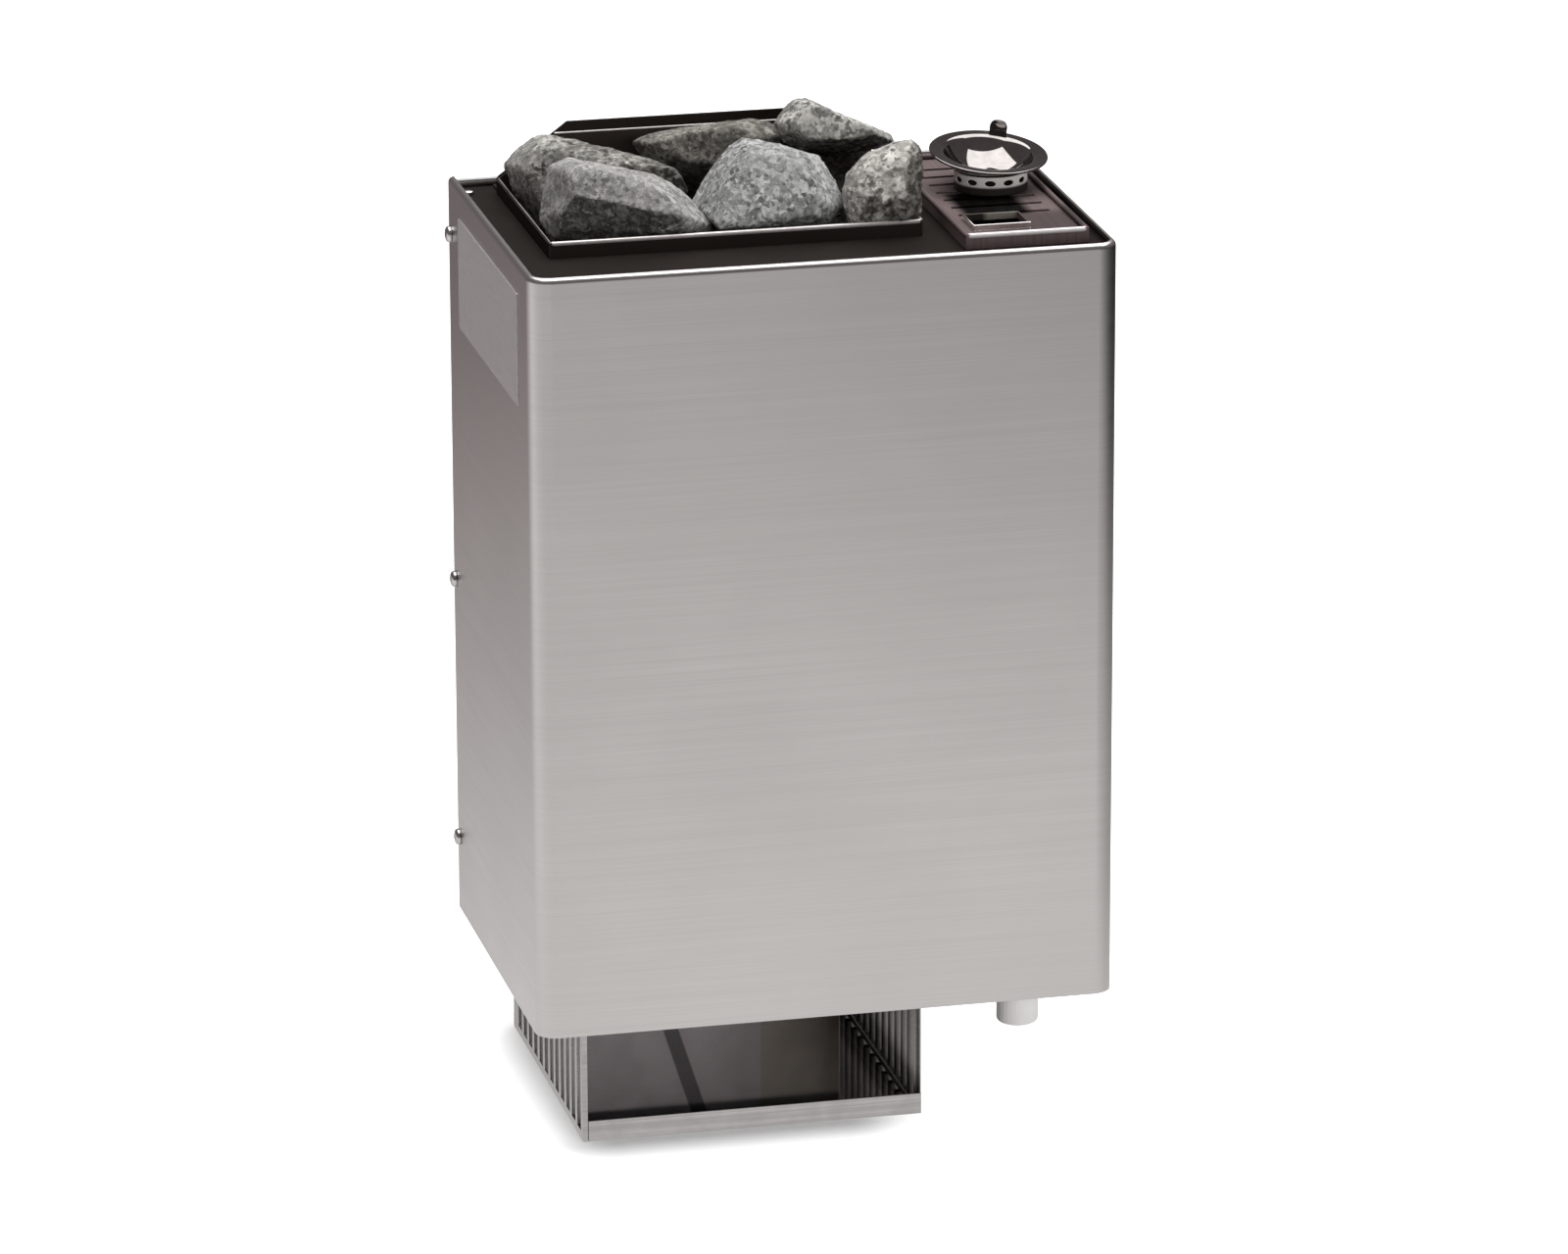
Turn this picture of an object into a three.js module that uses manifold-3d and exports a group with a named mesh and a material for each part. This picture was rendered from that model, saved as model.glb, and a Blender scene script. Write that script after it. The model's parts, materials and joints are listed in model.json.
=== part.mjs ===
// Compact electric sauna heater with a stone container, a steam evaporator and an open intake duct below.
// Millimetres, +Z up, front towards -Y. The origin lies on the floor, under the middle of the object.
import * as THREE from 'three';
import { ConvexGeometry } from 'three/addons/geometries/ConvexGeometry.js';
import { mergeVertices } from 'three/addons/utils/BufferGeometryUtils.js';
import Module from 'manifold-3d';

const wasm = await Module();
wasm.setup();

// Clearances
const fit = 0.3; // between pieces that touch
const stoneGap = 0.5; // between neighbouring stones
const past = 1; // how far a cutter runs past a face

// Layout across the width, from the casing's left face to its right face
const sideMargin = 25; // casing to stone container
const containerWidth = 223;
const columnGap = 16; // stone container to steam cover
const coverWidth = 74;
const coverMargin = 12; // steam cover to casing
const casingWidth = sideMargin + containerWidth + columnGap + coverWidth + coverMargin;

// Layout in depth, from the casing's front face to its rear edge
const frontLedge = 66; // casing to stone container
const containerDepth = 157;
const rearMargin = 22; // stone container to the casing's rear edge
const casingDepth = frontLedge + containerDepth + rearMargin;
const coverSetback = 27; // casing's front to steam cover
const coverRear = 29; // steam cover to the casing's rear edge

// Layout in height, from the casing's bottom edge
const casingHeight = 462;
const plateDrop = 6; // black top plate below the casing's top edge
const rimRise = 9.5; // rims of container and steam cover above the top plate
const ductDrop = 77; // intake duct below the casing

// Outer casing, panels and plates
const casingSheet = 1.2;
const cornerRadius = 13;
const topLip = 3; // folded inwards along the casing's top edge
const panelSheet = 1.2;
const panelFlange = 14; // rear panel's side flanges
const panelLip = 4; // rear panel's top return
const plateSheet = 1.2;
const bottomPlateLift = 1; // above the casing's bottom edge
const angleLeg = 11; // angles that carry the top plate
const angleSheet = 1.2;

// Screws
const sideScrewHead = 5; // radius
const sideScrewCap = 3.2; // head height
const sideScrewShank = 2; // radius
const sideScrewLength = 9;
const sideScrewInset = 6; // from the casing's rear edge
const sideScrewTop = 34; // upper row below the casing's top edge
const sideScrewMiddle = 212; // other rows above its bottom edge
const sideScrewBottom = 47;
const topScrewHead = 3.6;
const topScrewCap = 2.2;
const topScrewShank = 1.5;
const topScrewLength = 8;
const topScrewInset = 8; // from the casing's side faces
const topScrewRear = 21; // from the casing's rear edge
const panProfile = [[1, 0.4], [0.86, 0.75], [0.5, 0.96]]; // shares of a head's radius and height

// Sides of round pieces
const screwSides = 16;
const pipeSides = 24;
const capSides = 32;
const dishSides = 40;
const holeSides = 12;
const bowlSteps = 8; // from the bowl's floor to its rim
const cornerSegments = 6; // in a rounded corner
const tubeSegments = 4; // in a quarter of a bent tube's section
const tubeSteps = 40; // along a bent tube
const bendSteps = 12;

// Stone container, grate and rear guard
const containerHeight = 92;
const containerSheet = 1;
const containerLedge = 9;
const backRise = 25; // raised rear wall above the rim
const guardRise = 31.5; // rear guard above the rim
const guardSheet = 1.2;
const guardGap = 1.5; // container to guard
const guardInset = 1; // guard's foot from the container's sides
const guardSlant = 42.5; // run of the guard's slanted ends
const guardFoot = 14;
const grateHeight = 5;
const grateFrame = 10;
const grateBar = 5;
const grateBars = 9;

// Heating chamber, its elements, shield and partition
const chamberSheet = 1;
const chamberFrontInset = 6; // behind the container's front
const chamberRearInset = 2;
const elementRadius = 4;
const elementCount = 3;
const elementPitch = 45;
const elementBend = 45; // radius of the hairpin
const elementDrop = 40; // upper leg below the chamber's top
const elementReach = 18; // ends past the partition
const elementLeftGap = 14; // hairpin to the chamber's left wall
const elementHole = 2; // clearance in the chamber's wall
const shieldSheet = 1;
const shieldFront = 45; // from the casing's front face
const shieldLeft = 15; // from the casing's left face
const shieldDrop = 20; // below the top plate
const partitionSheet = 1.2;
const partitionGap = 5; // duct to partition
const partitionFront = 10;

// Intake duct
const ductSheet = 0.8;
const ductInsetLeft = 6; // from the container's left side
const ductInsetRight = 10;
const ductSetback = 27; // from the casing's front face
const ductRear = 11; // from the casing's rear edge
const ductLap = 18; // side walls above the bottom plate
const ductLip = 13; // floor's folded front lip
const ductFold = 3.2; // left wall's folded front edge
const slitWidth = 10.5;
const slitPitch = 16;
const slitMargin = 6; // plain strip at the walls' front
const slitEnd = 10; // least plain strip at their rear
const slitFoot = 5.5; // plain strip at the walls' bottom
const slitHead = 8; // plain strip below the casing

// Evaporator tank, cover and dish
const tankDepth = 118;
const tankSheet = 1;
const tankInset = 4; // tank's walls from the cover's outline
const tankFlangeGap = 0.4; // flange to the cover's skirt
const coverSheet = 1.2;
const coverRecess = 3; // panel below the rim
const slotLength = 55;
const slotWidth = 4.5;
const slotPitch = 18;
const slotFirst = 55; // first slot from the cover's front
const slotRearMargin = 20;
const fillWidth = 34; // filling opening with its raised rim
const fillDepth = 28;
const fillRim = 3; // rim above the panel
const fillSetback = 18; // rim from the cover's front edge
const fillInset = 9.5; // rim from the cover's left edge
const collarRadius = 22;
const collarSheet = 1;
const collarHeight = 11;
const collarHoleWidth = 6.6;
const collarHoleHeight = 3.4;
const collarHoleLift = 7.6; // above the cover's panel
const collarHoles = 12;
const dishRadius = 35.5;
const dishSheet = 1.2;
const dishCurve = 33; // radius of the bowl's round underside
const dishRim = 10; // rim above the collar
const dishFloorRadius = 11;
const dishLip = 2.5; // upturned outer edge of the rim
const dishTilt = 7.5; // degrees, forwards in the collar
const dishLean = 3; // degrees, to the right
const dishSetback = 114; // dish's centre from the cover's front
const dishInset = 30; // dish's centre from the cover's right edge
const gripWidth = 10.5;
const gripHeight = 8;
const gripSheet = 1.6;
const gripAngle = 66; // degrees from the right, towards the rear
const evaporatorRadius = 4;
const evaporatorBend = 15;
const evaporatorLift = 14; // above the tank's underside
const evaporatorRear = 27; // hairpin's end to the tank's rear
const evaporatorReach = 13; // ends in front of the tank
const evaporatorNutFlats = 14;
const evaporatorNutHeight = 6;
const cutoutRadius = 9;
const cutoutNeck = 7.2; // radius of its lower half
const cutoutHeight = 11;
const cutoutSetback = 89; // from the tank's front

// Drain
const drainRadius = 6;
const drainBore = 4;
const drainFlange = 9.5;
const drainFlangeHeight = 3;
const drainNutWall = 2;
const drainNutHeight = 5;
const drainNutGap = 0.8; // to the tank's front wall
const spigotRadius = 8.5;
const spigotDrop = 24; // below the casing's bottom edge
const sealHeight = 1.5;
const capRadius = 12.6;
const capHeight = 20;
const capFloor = 2;
const capChamfer = 1.5;

// Electrical connection
const blockWidth = 60;
const blockDepth = 22;
const blockHeight = 21;
const blockPoles = 5;
const blockHole = 3;
const shelfLift = 60; // above the casing's bottom edge
const shelfDepth = 40;
const shelfHeight = 50;
const shelfSheet = 1.2;
const shelfOverhang = 5; // past the block's ends
const glandRadius = 7.5;
const glandHead = 11;
const glandNose = 8.2;
const glandTaper = 7; // height of the nose's cone
const glandBore = 4.5;
const glandDrop = 20; // below the bottom plate
const glandNeck = 12; // above the bottom plate's underside
const glandNutFlats = 23;
const glandNutHeight = 5;
const glandRear = 58; // from the casing's rear edge

// Wall rails on the rear panel
const railDepth = 12;
const railWidth = 230;
const railHeight = 40;
const railSheet = 1.5;
const railTop = 40; // upper rail below the casing's top edge
const spacerHeight = 30;
const spacerLift = 40; // lower rail above the casing's bottom edge
const keyholeSpacing = 160;
const keyholeRadius = 6;
const keyholeNeck = 3.5; // half width
const keyholeRise = 12;

// Places that several pieces share, with x from the casing's left face, y from its front and z from below
const containerLeft = sideMargin;
const containerRight = containerLeft + containerWidth;
const containerFront = frontLedge;
const containerBack = containerFront + containerDepth;
const plateTop = casingHeight - plateDrop;
const plateUnder = plateTop - plateSheet;
const rimTop = plateTop + rimRise;
const containerBottom = rimTop - containerHeight;
const grateBottom = containerBottom + containerSheet + fit;
const grateTop = grateBottom + grateHeight;
const insideLeft = casingSheet + fit;
const insideRight = casingWidth - insideLeft;
const insideFront = casingSheet + fit;
const insideBack = casingDepth - panelSheet - fit;
const bottomTop = bottomPlateLift + plateSheet;
const ductLeft = containerLeft + ductInsetLeft;
const ductRight = containerRight - ductInsetRight;
const ductBack = casingDepth - ductRear;
const ductTop = bottomTop + ductLap;
const chamberLeft = ductLeft + ductSheet + fit;
const chamberRight = ductRight - ductSheet - fit;
const chamberFront = containerFront + chamberFrontInset;
const chamberBack = containerBack - chamberRearInset;
const chamberTop = containerBottom - fit;
const partitionLeft = ductRight + partitionGap;
const elementHigh = chamberTop - elementDrop;
const elementLow = elementHigh - 2 * elementBend;
const coverLeft = containerRight + columnGap;
const coverRight = coverLeft + coverWidth;
const coverFront = coverSetback;
const coverBack = casingDepth - coverRear;
const coverMiddle = (coverLeft + coverRight) / 2;
const coverSeat = plateTop + fit;
const panelTop = rimTop - coverRecess;
const tankLeft = coverLeft + tankInset;
const tankRight = coverRight - tankInset;
const tankFront = coverFront + tankInset;
const tankBack = coverBack - tankInset;
const tankBottom = plateTop - tankDepth;
const tankFloor = tankBottom + tankSheet;
const dishX = coverRight - dishInset;
const dishY = coverFront + dishSetback;
const collarSeat = panelTop + fit;
const collarTop = collarSeat + collarHeight;
const evaporatorZ = tankBottom + evaporatorLift;
const drainNutFlats = 2 * (drainRadius + drainNutWall);
const drainY = tankFront + tankSheet + drainNutGap + drainNutFlats / Math.sqrt(3);
const screwRows = [
  ['top', casingHeight - sideScrewTop],
  ['middle', sideScrewMiddle],
  ['bottom', sideScrewBottom],
];

// Finishes
const finish = (color, roughness, metalness) => ({ color, roughness, metalness });
const brushedSteel = finish(0xb4b0ac, 0.38, 0.9);
const galvanised = finish(0xa9aaab, 0.5, 0.85);
const blackSteel = finish(0x211d1a, 0.45, 0.4);
const darkSteel = finish(0x5a5351, 0.25, 0.9);
const polishedSteel = finish(0xd5d2cf, 0.12, 1);
const screwSteel = finish(0xbdb9b5, 0.25, 1);
const elementSteel = finish(0x4a4744, 0.5, 0.8);
const stoneGrey = finish(0x8b8985, 0.9, 0);
const whitePlastic = finish(0xd0cccb, 0.5, 0);
const greyPlastic = finish(0x55565a, 0.55, 0);
const sealRubber = finish(0x1d1d1d, 0.8, 0);
const ceramicWhite = finish(0xe4dfd2, 0.5, 0);

// Geometry helpers
function solid(geometry) {
  const bare = new THREE.BufferGeometry();
  bare.setAttribute('position', geometry.getAttribute('position'));
  bare.setIndex(geometry.index);
  const merged = mergeVertices(bare, 1e-4);
  const vertProperties = merged.attributes.position.array;
  const triVerts = new Uint32Array(merged.index.array);
  return new wasm.Manifold(new wasm.Mesh({ numProp: 3, vertProperties, triVerts }));
}

function geometryOf(made) {
  const mesh = made.getMesh();
  const geometry = new THREE.BufferGeometry();
  geometry.setAttribute('position', new THREE.BufferAttribute(mesh.vertProperties, 3));
  geometry.setIndex(new THREE.BufferAttribute(mesh.triVerts, 1));
  geometry.computeVertexNormals();
  return geometry;
}

function box(x0, x1, y0, y1, z0, z1) {
  const geometry = new THREE.BoxGeometry(x1 - x0, y1 - y0, z1 - z0);
  return solid(geometry.translate((x0 + x1) / 2, (y0 + y1) / 2, (z0 + z1) / 2));
}

function prism(shape, z0, z1) {
  const options = { depth: z1 - z0, curveSegments: cornerSegments, bevelEnabled: false };
  return solid(new THREE.ExtrudeGeometry(shape, options).translate(0, 0, z0));
}

const outline = (points) => new THREE.Shape(points.map(([x, y]) => new THREE.Vector2(x, y)));

// A flat outline in x and z, standing between two depths
function upright(points, y0, y1) {
  const geometry = new THREE.ExtrudeGeometry(outline(points), { depth: y1 - y0, bevelEnabled: false });
  return solid(geometry.rotateX(Math.PI / 2).translate(0, y1, 0));
}

function rod(radius, x, y, z0, z1, sides = screwSides) {
  const geometry = new THREE.CylinderGeometry(radius, radius, z1 - z0, sides);
  return solid(geometry.rotateX(Math.PI / 2).translate(x, y, (z0 + z1) / 2));
}

const rodAlongX = (radius, y, z, x0, x1, sides = screwSides) =>
  solid(new THREE.CylinderGeometry(radius, radius, x1 - x0, sides).rotateZ(Math.PI / 2)
    .translate((x0 + x1) / 2, y, z));

const rodAlongY = (radius, x, z, y0, y1, sides = screwSides) =>
  solid(new THREE.CylinderGeometry(radius, radius, y1 - y0, sides).translate(x, (y0 + y1) / 2, z));

// A profile of radius and height pairs, listed upwards on the outside, turned about a vertical axis
function turned(profile, x, y, sides) {
  const points = profile.map(([radius, z]) => new THREE.Vector2(radius, z));
  return solid(new THREE.LatheGeometry(points, sides).rotateX(Math.PI / 2).translate(x, y, 0));
}

function hexagon(flats, z0, z1, x, y) {
  return rod(flats / Math.sqrt(3), x, y, z0, z1, 6);
}

const joined = (first, ...others) => others.reduce((whole, piece) => whole.add(piece), first);
const cut = (first, ...others) => others.reduce((whole, piece) => whole.subtract(piece), first);

const heater = new THREE.Group();
heater.position.set(-casingWidth / 2, -(casingDepth + railDepth) / 2, ductDrop);

function place(name, made, look, parent = heater) {
  const mesh = new THREE.Mesh(geometryOf(made), new THREE.MeshStandardMaterial(look));
  mesh.name = name;
  parent.add(mesh);
  return mesh;
}

// Outer casing: front and sides bent from one sheet, with rounded front corners and a folded top lip
function wrap(outer, inner) {
  const shape = new THREE.Shape();
  const [far, near] = [casingWidth - cornerRadius, cornerRadius];
  shape.moveTo(outer, casingDepth);
  shape.lineTo(outer, near);
  shape.absarc(near, near, cornerRadius - outer, Math.PI, 1.5 * Math.PI, false);
  shape.lineTo(far, outer);
  shape.absarc(far, near, cornerRadius - outer, 1.5 * Math.PI, 2 * Math.PI, false);
  shape.lineTo(casingWidth - outer, casingDepth);
  shape.lineTo(casingWidth - inner, casingDepth);
  shape.lineTo(casingWidth - inner, near);
  shape.absarc(far, near, cornerRadius - inner, 2 * Math.PI, 1.5 * Math.PI, true);
  shape.lineTo(near, inner);
  shape.absarc(near, near, cornerRadius - inner, 1.5 * Math.PI, Math.PI, true);
  shape.lineTo(inner, casingDepth);
  return shape;
}

const sideScrewY = casingDepth - sideScrewInset;
const sideScrewHoles = screwRows.map(([, z]) =>
  rodAlongX(sideScrewShank + fit, sideScrewY, z, -past, casingWidth + past));
const casingWall = prism(wrap(0, casingSheet), 0, casingHeight);
const casingLip = prism(wrap(0, topLip), casingHeight - casingSheet, casingHeight);
place('outer_casing', cut(casingWall.add(casingLip), ...sideScrewHoles), brushedSteel);

// Rear panel: a sheet with side flanges behind the casing's edges and a short return along its top
const panelHigh = casingHeight - casingSheet - fit;
const flangeFront = casingDepth - panelFlange;
const rearPanel = joined(
  box(insideLeft, insideRight, casingDepth - panelSheet, casingDepth, 0, panelHigh),
  box(insideLeft, insideLeft + panelSheet, flangeFront, casingDepth, 0, panelHigh),
  box(insideRight - panelSheet, insideRight, flangeFront, casingDepth, 0, panelHigh),
  box(insideLeft, insideRight, casingDepth - panelLip, casingDepth, panelHigh - panelSheet, panelHigh),
);
place('rear_panel', cut(rearPanel, ...sideScrewHoles), galvanised);

// Pan-head screws along the sides
function panScrew(head, cap, shank, length) {
  const dome = panProfile.map(([radius, height]) => [head * radius, cap * height]);
  const profile = [[0, -length], [shank, -length], [shank, 0], [head, 0], ...dome, [0, cap]];
  return turned(profile, 0, 0, screwSides);
}

const sideScrew = panScrew(sideScrewHead, sideScrewCap, sideScrewShank, sideScrewLength);
for (const [row, z] of screwRows) {
  const left = place(`side_screw_left_${row}`, sideScrew, screwSteel);
  left.position.set(-fit, sideScrewY, z);
  left.rotation.y = -Math.PI / 2;
  const right = place(`side_screw_right_${row}`, sideScrew, screwSteel);
  right.position.set(casingWidth + fit, sideScrewY, z);
  right.rotation.y = Math.PI / 2;
}

// Top and bottom plates share an outline that follows the casing inside and clears the rear panel's flanges
function plateOutline() {
  const shape = new THREE.Shape();
  const notch = insideLeft + panelSheet + fit;
  const shoulder = flangeFront - fit;
  const inner = cornerRadius - insideLeft;
  shape.moveTo(notch, insideBack);
  shape.lineTo(notch, shoulder);
  shape.lineTo(insideLeft, shoulder);
  shape.lineTo(insideLeft, cornerRadius);
  shape.absarc(cornerRadius, cornerRadius, inner, Math.PI, 1.5 * Math.PI, false);
  shape.lineTo(casingWidth - cornerRadius, insideFront);
  shape.absarc(casingWidth - cornerRadius, cornerRadius, inner, 1.5 * Math.PI, 2 * Math.PI, false);
  shape.lineTo(insideRight, shoulder);
  shape.lineTo(casingWidth - notch, shoulder);
  shape.lineTo(casingWidth - notch, insideBack);
  return shape;
}

// The top plate's front edge lies under the casing's lip, and two screws hold its rear
const topScrewY = casingDepth - topScrewRear;
const topScrewPlaces = { left: topScrewInset, right: casingWidth - topScrewInset };
const topScrewHoles = Object.values(topScrewPlaces).map((x) =>
  rod(topScrewShank + fit, x, topScrewY, 0, casingHeight));
const topPlate = cut(
  prism(plateOutline(), plateUnder, plateTop),
  box(containerLeft - fit, containerRight + fit, containerFront - fit, containerBack + fit, 0, casingHeight),
  box(tankLeft - fit, tankRight + fit, tankFront - fit, tankBack + fit, 0, casingHeight),
  ...topScrewHoles,
);
place('top_plate', topPlate, blackSteel);

const topScrew = panScrew(topScrewHead, topScrewCap, topScrewShank, topScrewLength);
for (const [side, x] of Object.entries(topScrewPlaces)) {
  place(`top_screw_${side}`, topScrew, screwSteel).position.set(x, topScrewY, plateTop + fit);
}

// Angles on the casing's sides carry the top plate
const angleTop = plateUnder - fit;
function supportAngle(wallX, legX) {
  const [low, high] = [Math.min(wallX, legX), Math.max(wallX, legX)];
  const wallEnd = wallX + Math.sign(legX - wallX) * angleSheet;
  const [y0, y1] = [cornerRadius, flangeFront - fit];
  const leg = box(low, high, y0, y1, angleTop - angleSheet, angleTop);
  const wall = box(Math.min(wallX, wallEnd), Math.max(wallX, wallEnd), y0, y1, angleTop - angleLeg, angleTop);
  return cut(leg.add(wall), ...topScrewHoles);
}
place('left_support_angle', supportAngle(insideLeft, insideLeft + angleLeg), galvanised);
place('right_support_angle', supportAngle(insideRight, insideRight - angleLeg), galvanised);

// Stone container: four walls, an inward ledge at the bottom and a raised rear wall with slanted ends
const frameWalls = (x0, x1, y0, y1, z0, z1, wall) =>
  cut(box(x0, x1, y0, y1, z0, z1), box(x0 + wall, x1 - wall, y0 + wall, y1 - wall, z0 - past, z1 + past));

function trapezoid(left, right, foot, shoulder, top, slant, y0, y1) {
  const run = slant * (top - shoulder) / guardRise;
  const points = [[left, foot], [right, foot], [right, shoulder], [right - run, top], [left + run, top]];
  return upright([...points, [left, shoulder]], y0, y1);
}

const backInset = guardInset + containerSheet;
place('stone_container', joined(
  frameWalls(containerLeft, containerRight, containerFront, containerBack, containerBottom, rimTop,
    containerSheet),
  frameWalls(containerLeft, containerRight, containerFront, containerBack, containerBottom,
    containerBottom + containerSheet, containerLedge),
  trapezoid(containerLeft + backInset, containerRight - backInset, rimTop - containerSheet, rimTop,
    rimTop + backRise, guardSlant, containerBack - containerSheet, containerBack),
), darkSteel);

// Rear guard: a black trapezoid plate behind the container, on a foot that lies on the top plate
const guardFront = containerBack + guardGap;
place('rear_guard', joined(
  trapezoid(containerLeft + guardInset, containerRight - guardInset, coverSeat, rimTop, rimTop + guardRise,
    guardSlant, guardFront, guardFront + guardSheet),
  box(containerLeft + guardInset, containerRight - guardInset, guardFront, guardFront + guardFoot,
    coverSeat, coverSeat + guardSheet),
), blackSteel);

// Grate under the stones
const grateLeft = containerLeft + containerSheet + fit;
const grateRight = containerRight - containerSheet - fit;
const grateFront = containerFront + containerSheet + fit;
const grateBack = containerBack - containerSheet - fit;
let grate = frameWalls(grateLeft, grateRight, grateFront, grateBack, grateBottom, grateTop, grateFrame);
for (let bar = 1; bar <= grateBars; bar += 1) {
  const x = grateLeft + (grateRight - grateLeft) * bar / (grateBars + 1);
  grate = grate.add(box(x - grateBar / 2, x + grateBar / 2, grateFront + grateFrame / 2,
    grateBack - grateFrame / 2, grateBottom, grateTop));
}
place('stone_grate', grate, elementSteel);

// Stones, placed from the container's edges or middle and from its rim.
// The upper ones have outlines drawn square to a line of sight from the front left and above.
const sightTurn = -13;
const sightTilt = 17.5;
const frontShare = 0.62; // outline at the stone's near side
const backShare = 0.7; // outline at the stone's far side
const sinkShare = 0.66; // outline at the stone's hidden underside
const upperStones = {
  stone_front_left: {
    across: ['left', 56], along: ['front', 42], rise: 12.5, turn: 0, near: 34, far: 28, sink: 26,
    edge: [[-52, -12], [-47, 19], [-36, 24], [-4, 18], [15, 14], [31, 5], [39, -5], [52, -19], [10, -24],
      [-46, -25]],
  },
  stone_rear_left: {
    across: ['left', 51], along: ['back', -55], rise: 7.5, turn: -19, near: 24, far: 22, sink: 26,
    edge: [[-61, 6], [-55, 16], [-44, 25], [-33, 26], [-23, 21], [-1, 21], [32, 16], [46, 12], [58, 2],
      [48, -19], [-36, -31], [-51, -13]],
  },
  stone_front_middle: {
    across: ['centre', 29.5], along: ['front', 46], rise: 15.5, turn: 0, near: 30, far: 28, sink: 26,
    edge: [[-45, -11], [-37, 4], [-23, 22], [-16, 27], [4, 25], [28, 17], [35, 8], [44, -6], [45, -15],
      [-21, -26], [-32, -27]],
  },
  stone_front_right: {
    across: ['right', -22], along: ['front', 12], rise: 23.5, turn: 4, near: 12, far: 44, sink: 28,
    edge: [[-24, -10], [-20, 3], [-8, 15], [8, 21], [18, 22], [25, 15], [23, -20], [11, -23], [-22, -18]],
  },
  stone_rear_right: {
    across: ['right', -30], along: ['back', -58], rise: 34.5, turn: 0, near: 26, far: 28, sink: 6,
    edge: [[-38, 1], [-31, 8], [-24, 15], [-17, 16], [-3, 8], [15, -1], [34, -6], [38, -10], [31, -13],
      [15, -15], [-18, -15], [-36, -6]],
  },
  stone_rear_middle: {
    across: ['centre', 9.5], along: ['back', -23], rise: 16.5, turn: 0, near: 24, far: 20, sink: 26,
    edge: [[-44, 3], [-35, 7], [-12, 12], [8, 14], [30, 17], [40, 15], [56, 7], [52, -9], [14, -19],
      [-12, -17], [-34, -8]],
  },
};
const lowerStones = {
  stone_low_front_left: { across: ['left', 39], along: ['front', 39], half: [40, 40], crown: 27.5 },
  stone_low_front_middle: { across: ['centre', 1.5], along: ['front', 37], half: [38, 40], crown: 24.5 },
  stone_low_front_right: { across: ['right', -38], along: ['front', 40], half: [40, 41], crown: 22.5 },
  stone_low_rear_left: { across: ['left', 37], along: ['back', -39], half: [39, 41], crown: 26.5 },
  stone_low_rear_middle: { across: ['centre', -0.5], along: ['back', -41], half: [39, 42], crown: 24.5 },
  stone_low_rear_right: { across: ['right', -40], along: ['back', -43], half: [42, 43], crown: -26 },
};
const bedding = 8; // lower stones' rounded feet, flattened on the grate
const roughness = 0.12; // share of a stone's half size
const bumpRates = [5, 4, 6]; // bumps along each axis
const stoneLedge = 0.5; // stone above the container's rim where it lies over it
const anchors = {
  left: containerLeft,
  centre: (containerLeft + containerRight) / 2,
  right: containerRight,
  front: containerFront,
  back: containerBack,
};
const anchored = ([from, offset]) => anchors[from] + offset;

function upperStone({ across, along, rise, turn, near, far, sink, edge }) {
  const centre = new THREE.Vector3(anchored(across), anchored(along), rimTop + rise);
  const frame = new THREE.Matrix4().makeRotationZ(THREE.MathUtils.degToRad(sightTurn + turn));
  frame.multiply(new THREE.Matrix4().makeRotationX(THREE.MathUtils.degToRad(-sightTilt)));
  const low = centre.clone().setZ(centre.z - sink);
  const ring = (middle, share, depth) => edge.map(([u, v]) =>
    new THREE.Vector3(u * share, depth, v * share).applyMatrix4(frame).add(middle));
  const points = [
    ...ring(centre, 1, 0),
    ...ring(centre, frontShare, -near),
    ...ring(centre, backShare, far),
    ...ring(low, sinkShare, 0),
  ];
  return { centre, points };
}

function lowerStone({ across, along, half, crown }, index) {
  const [foot, top] = [grateTop - bedding, rimTop - crown];
  const centre = new THREE.Vector3(anchored(across), anchored(along), (foot + top) / 2);
  const size = new THREE.Vector3(...half, (top - foot) / 2);
  const position = new THREE.IcosahedronGeometry(1, 1).getAttribute('position');
  const points = Array.from({ length: position.count }, (_, i) => {
    const point = new THREE.Vector3().fromBufferAttribute(position, i);
    const waves = bumpRates.map((rate, axis) => Math.sin(rate * point.getComponent(axis) + index));
    const bump = roughness * waves.reduce((sum, wave) => sum + wave) / waves.length;
    return point.multiplyScalar(1 + bump).multiply(size).add(centre);
  });
  return { centre, points };
}

const stones = [
  ...Object.entries(upperStones).map(([name, stone]) => ({ name, ...upperStone(stone) })),
  ...Object.entries(lowerStones).map(([name, stone], i) => ({ name, ...lowerStone(stone, i) })),
].map((stone) => ({ ...stone, body: solid(new ConvexGeometry(stone.points)) }));

// A slab as wide as the container on the far side of a plane
function farSide(centre, direction, distance) {
  const reach = containerWidth + containerDepth;
  const turn = new THREE.Quaternion().setFromUnitVectors(new THREE.Vector3(0, 0, 1), direction);
  const middle = centre.clone().addScaledVector(direction, distance + reach / 2);
  return solid(new THREE.BoxGeometry(2 * reach, 2 * reach, reach).applyQuaternion(turn).translate(...middle));
}

// Neighbours that would share space are both cut back to a plane between them
const stoneCuts = new Map(stones.map((stone) => [stone, []]));
stones.forEach((first, i) => stones.slice(i + 1).forEach((second) => {
  if (first.body.intersect(second.body).volume() <= 0) return;
  const direction = second.centre.clone().sub(first.centre).normalize();
  const ahead = Math.max(...first.points.map((p) => p.clone().sub(first.centre).dot(direction)));
  const behind = Math.max(...second.points.map((p) => second.centre.clone().sub(p).dot(direction)));
  const distance = second.centre.distanceTo(first.centre);
  const share = distance * ahead / (ahead + behind);
  stoneCuts.get(first).push(farSide(first.centre, direction, share - stoneGap / 2));
  stoneCuts.get(second).push(
    farSide(second.centre, direction.clone().negate(), distance - share - stoneGap / 2));
}));

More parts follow.
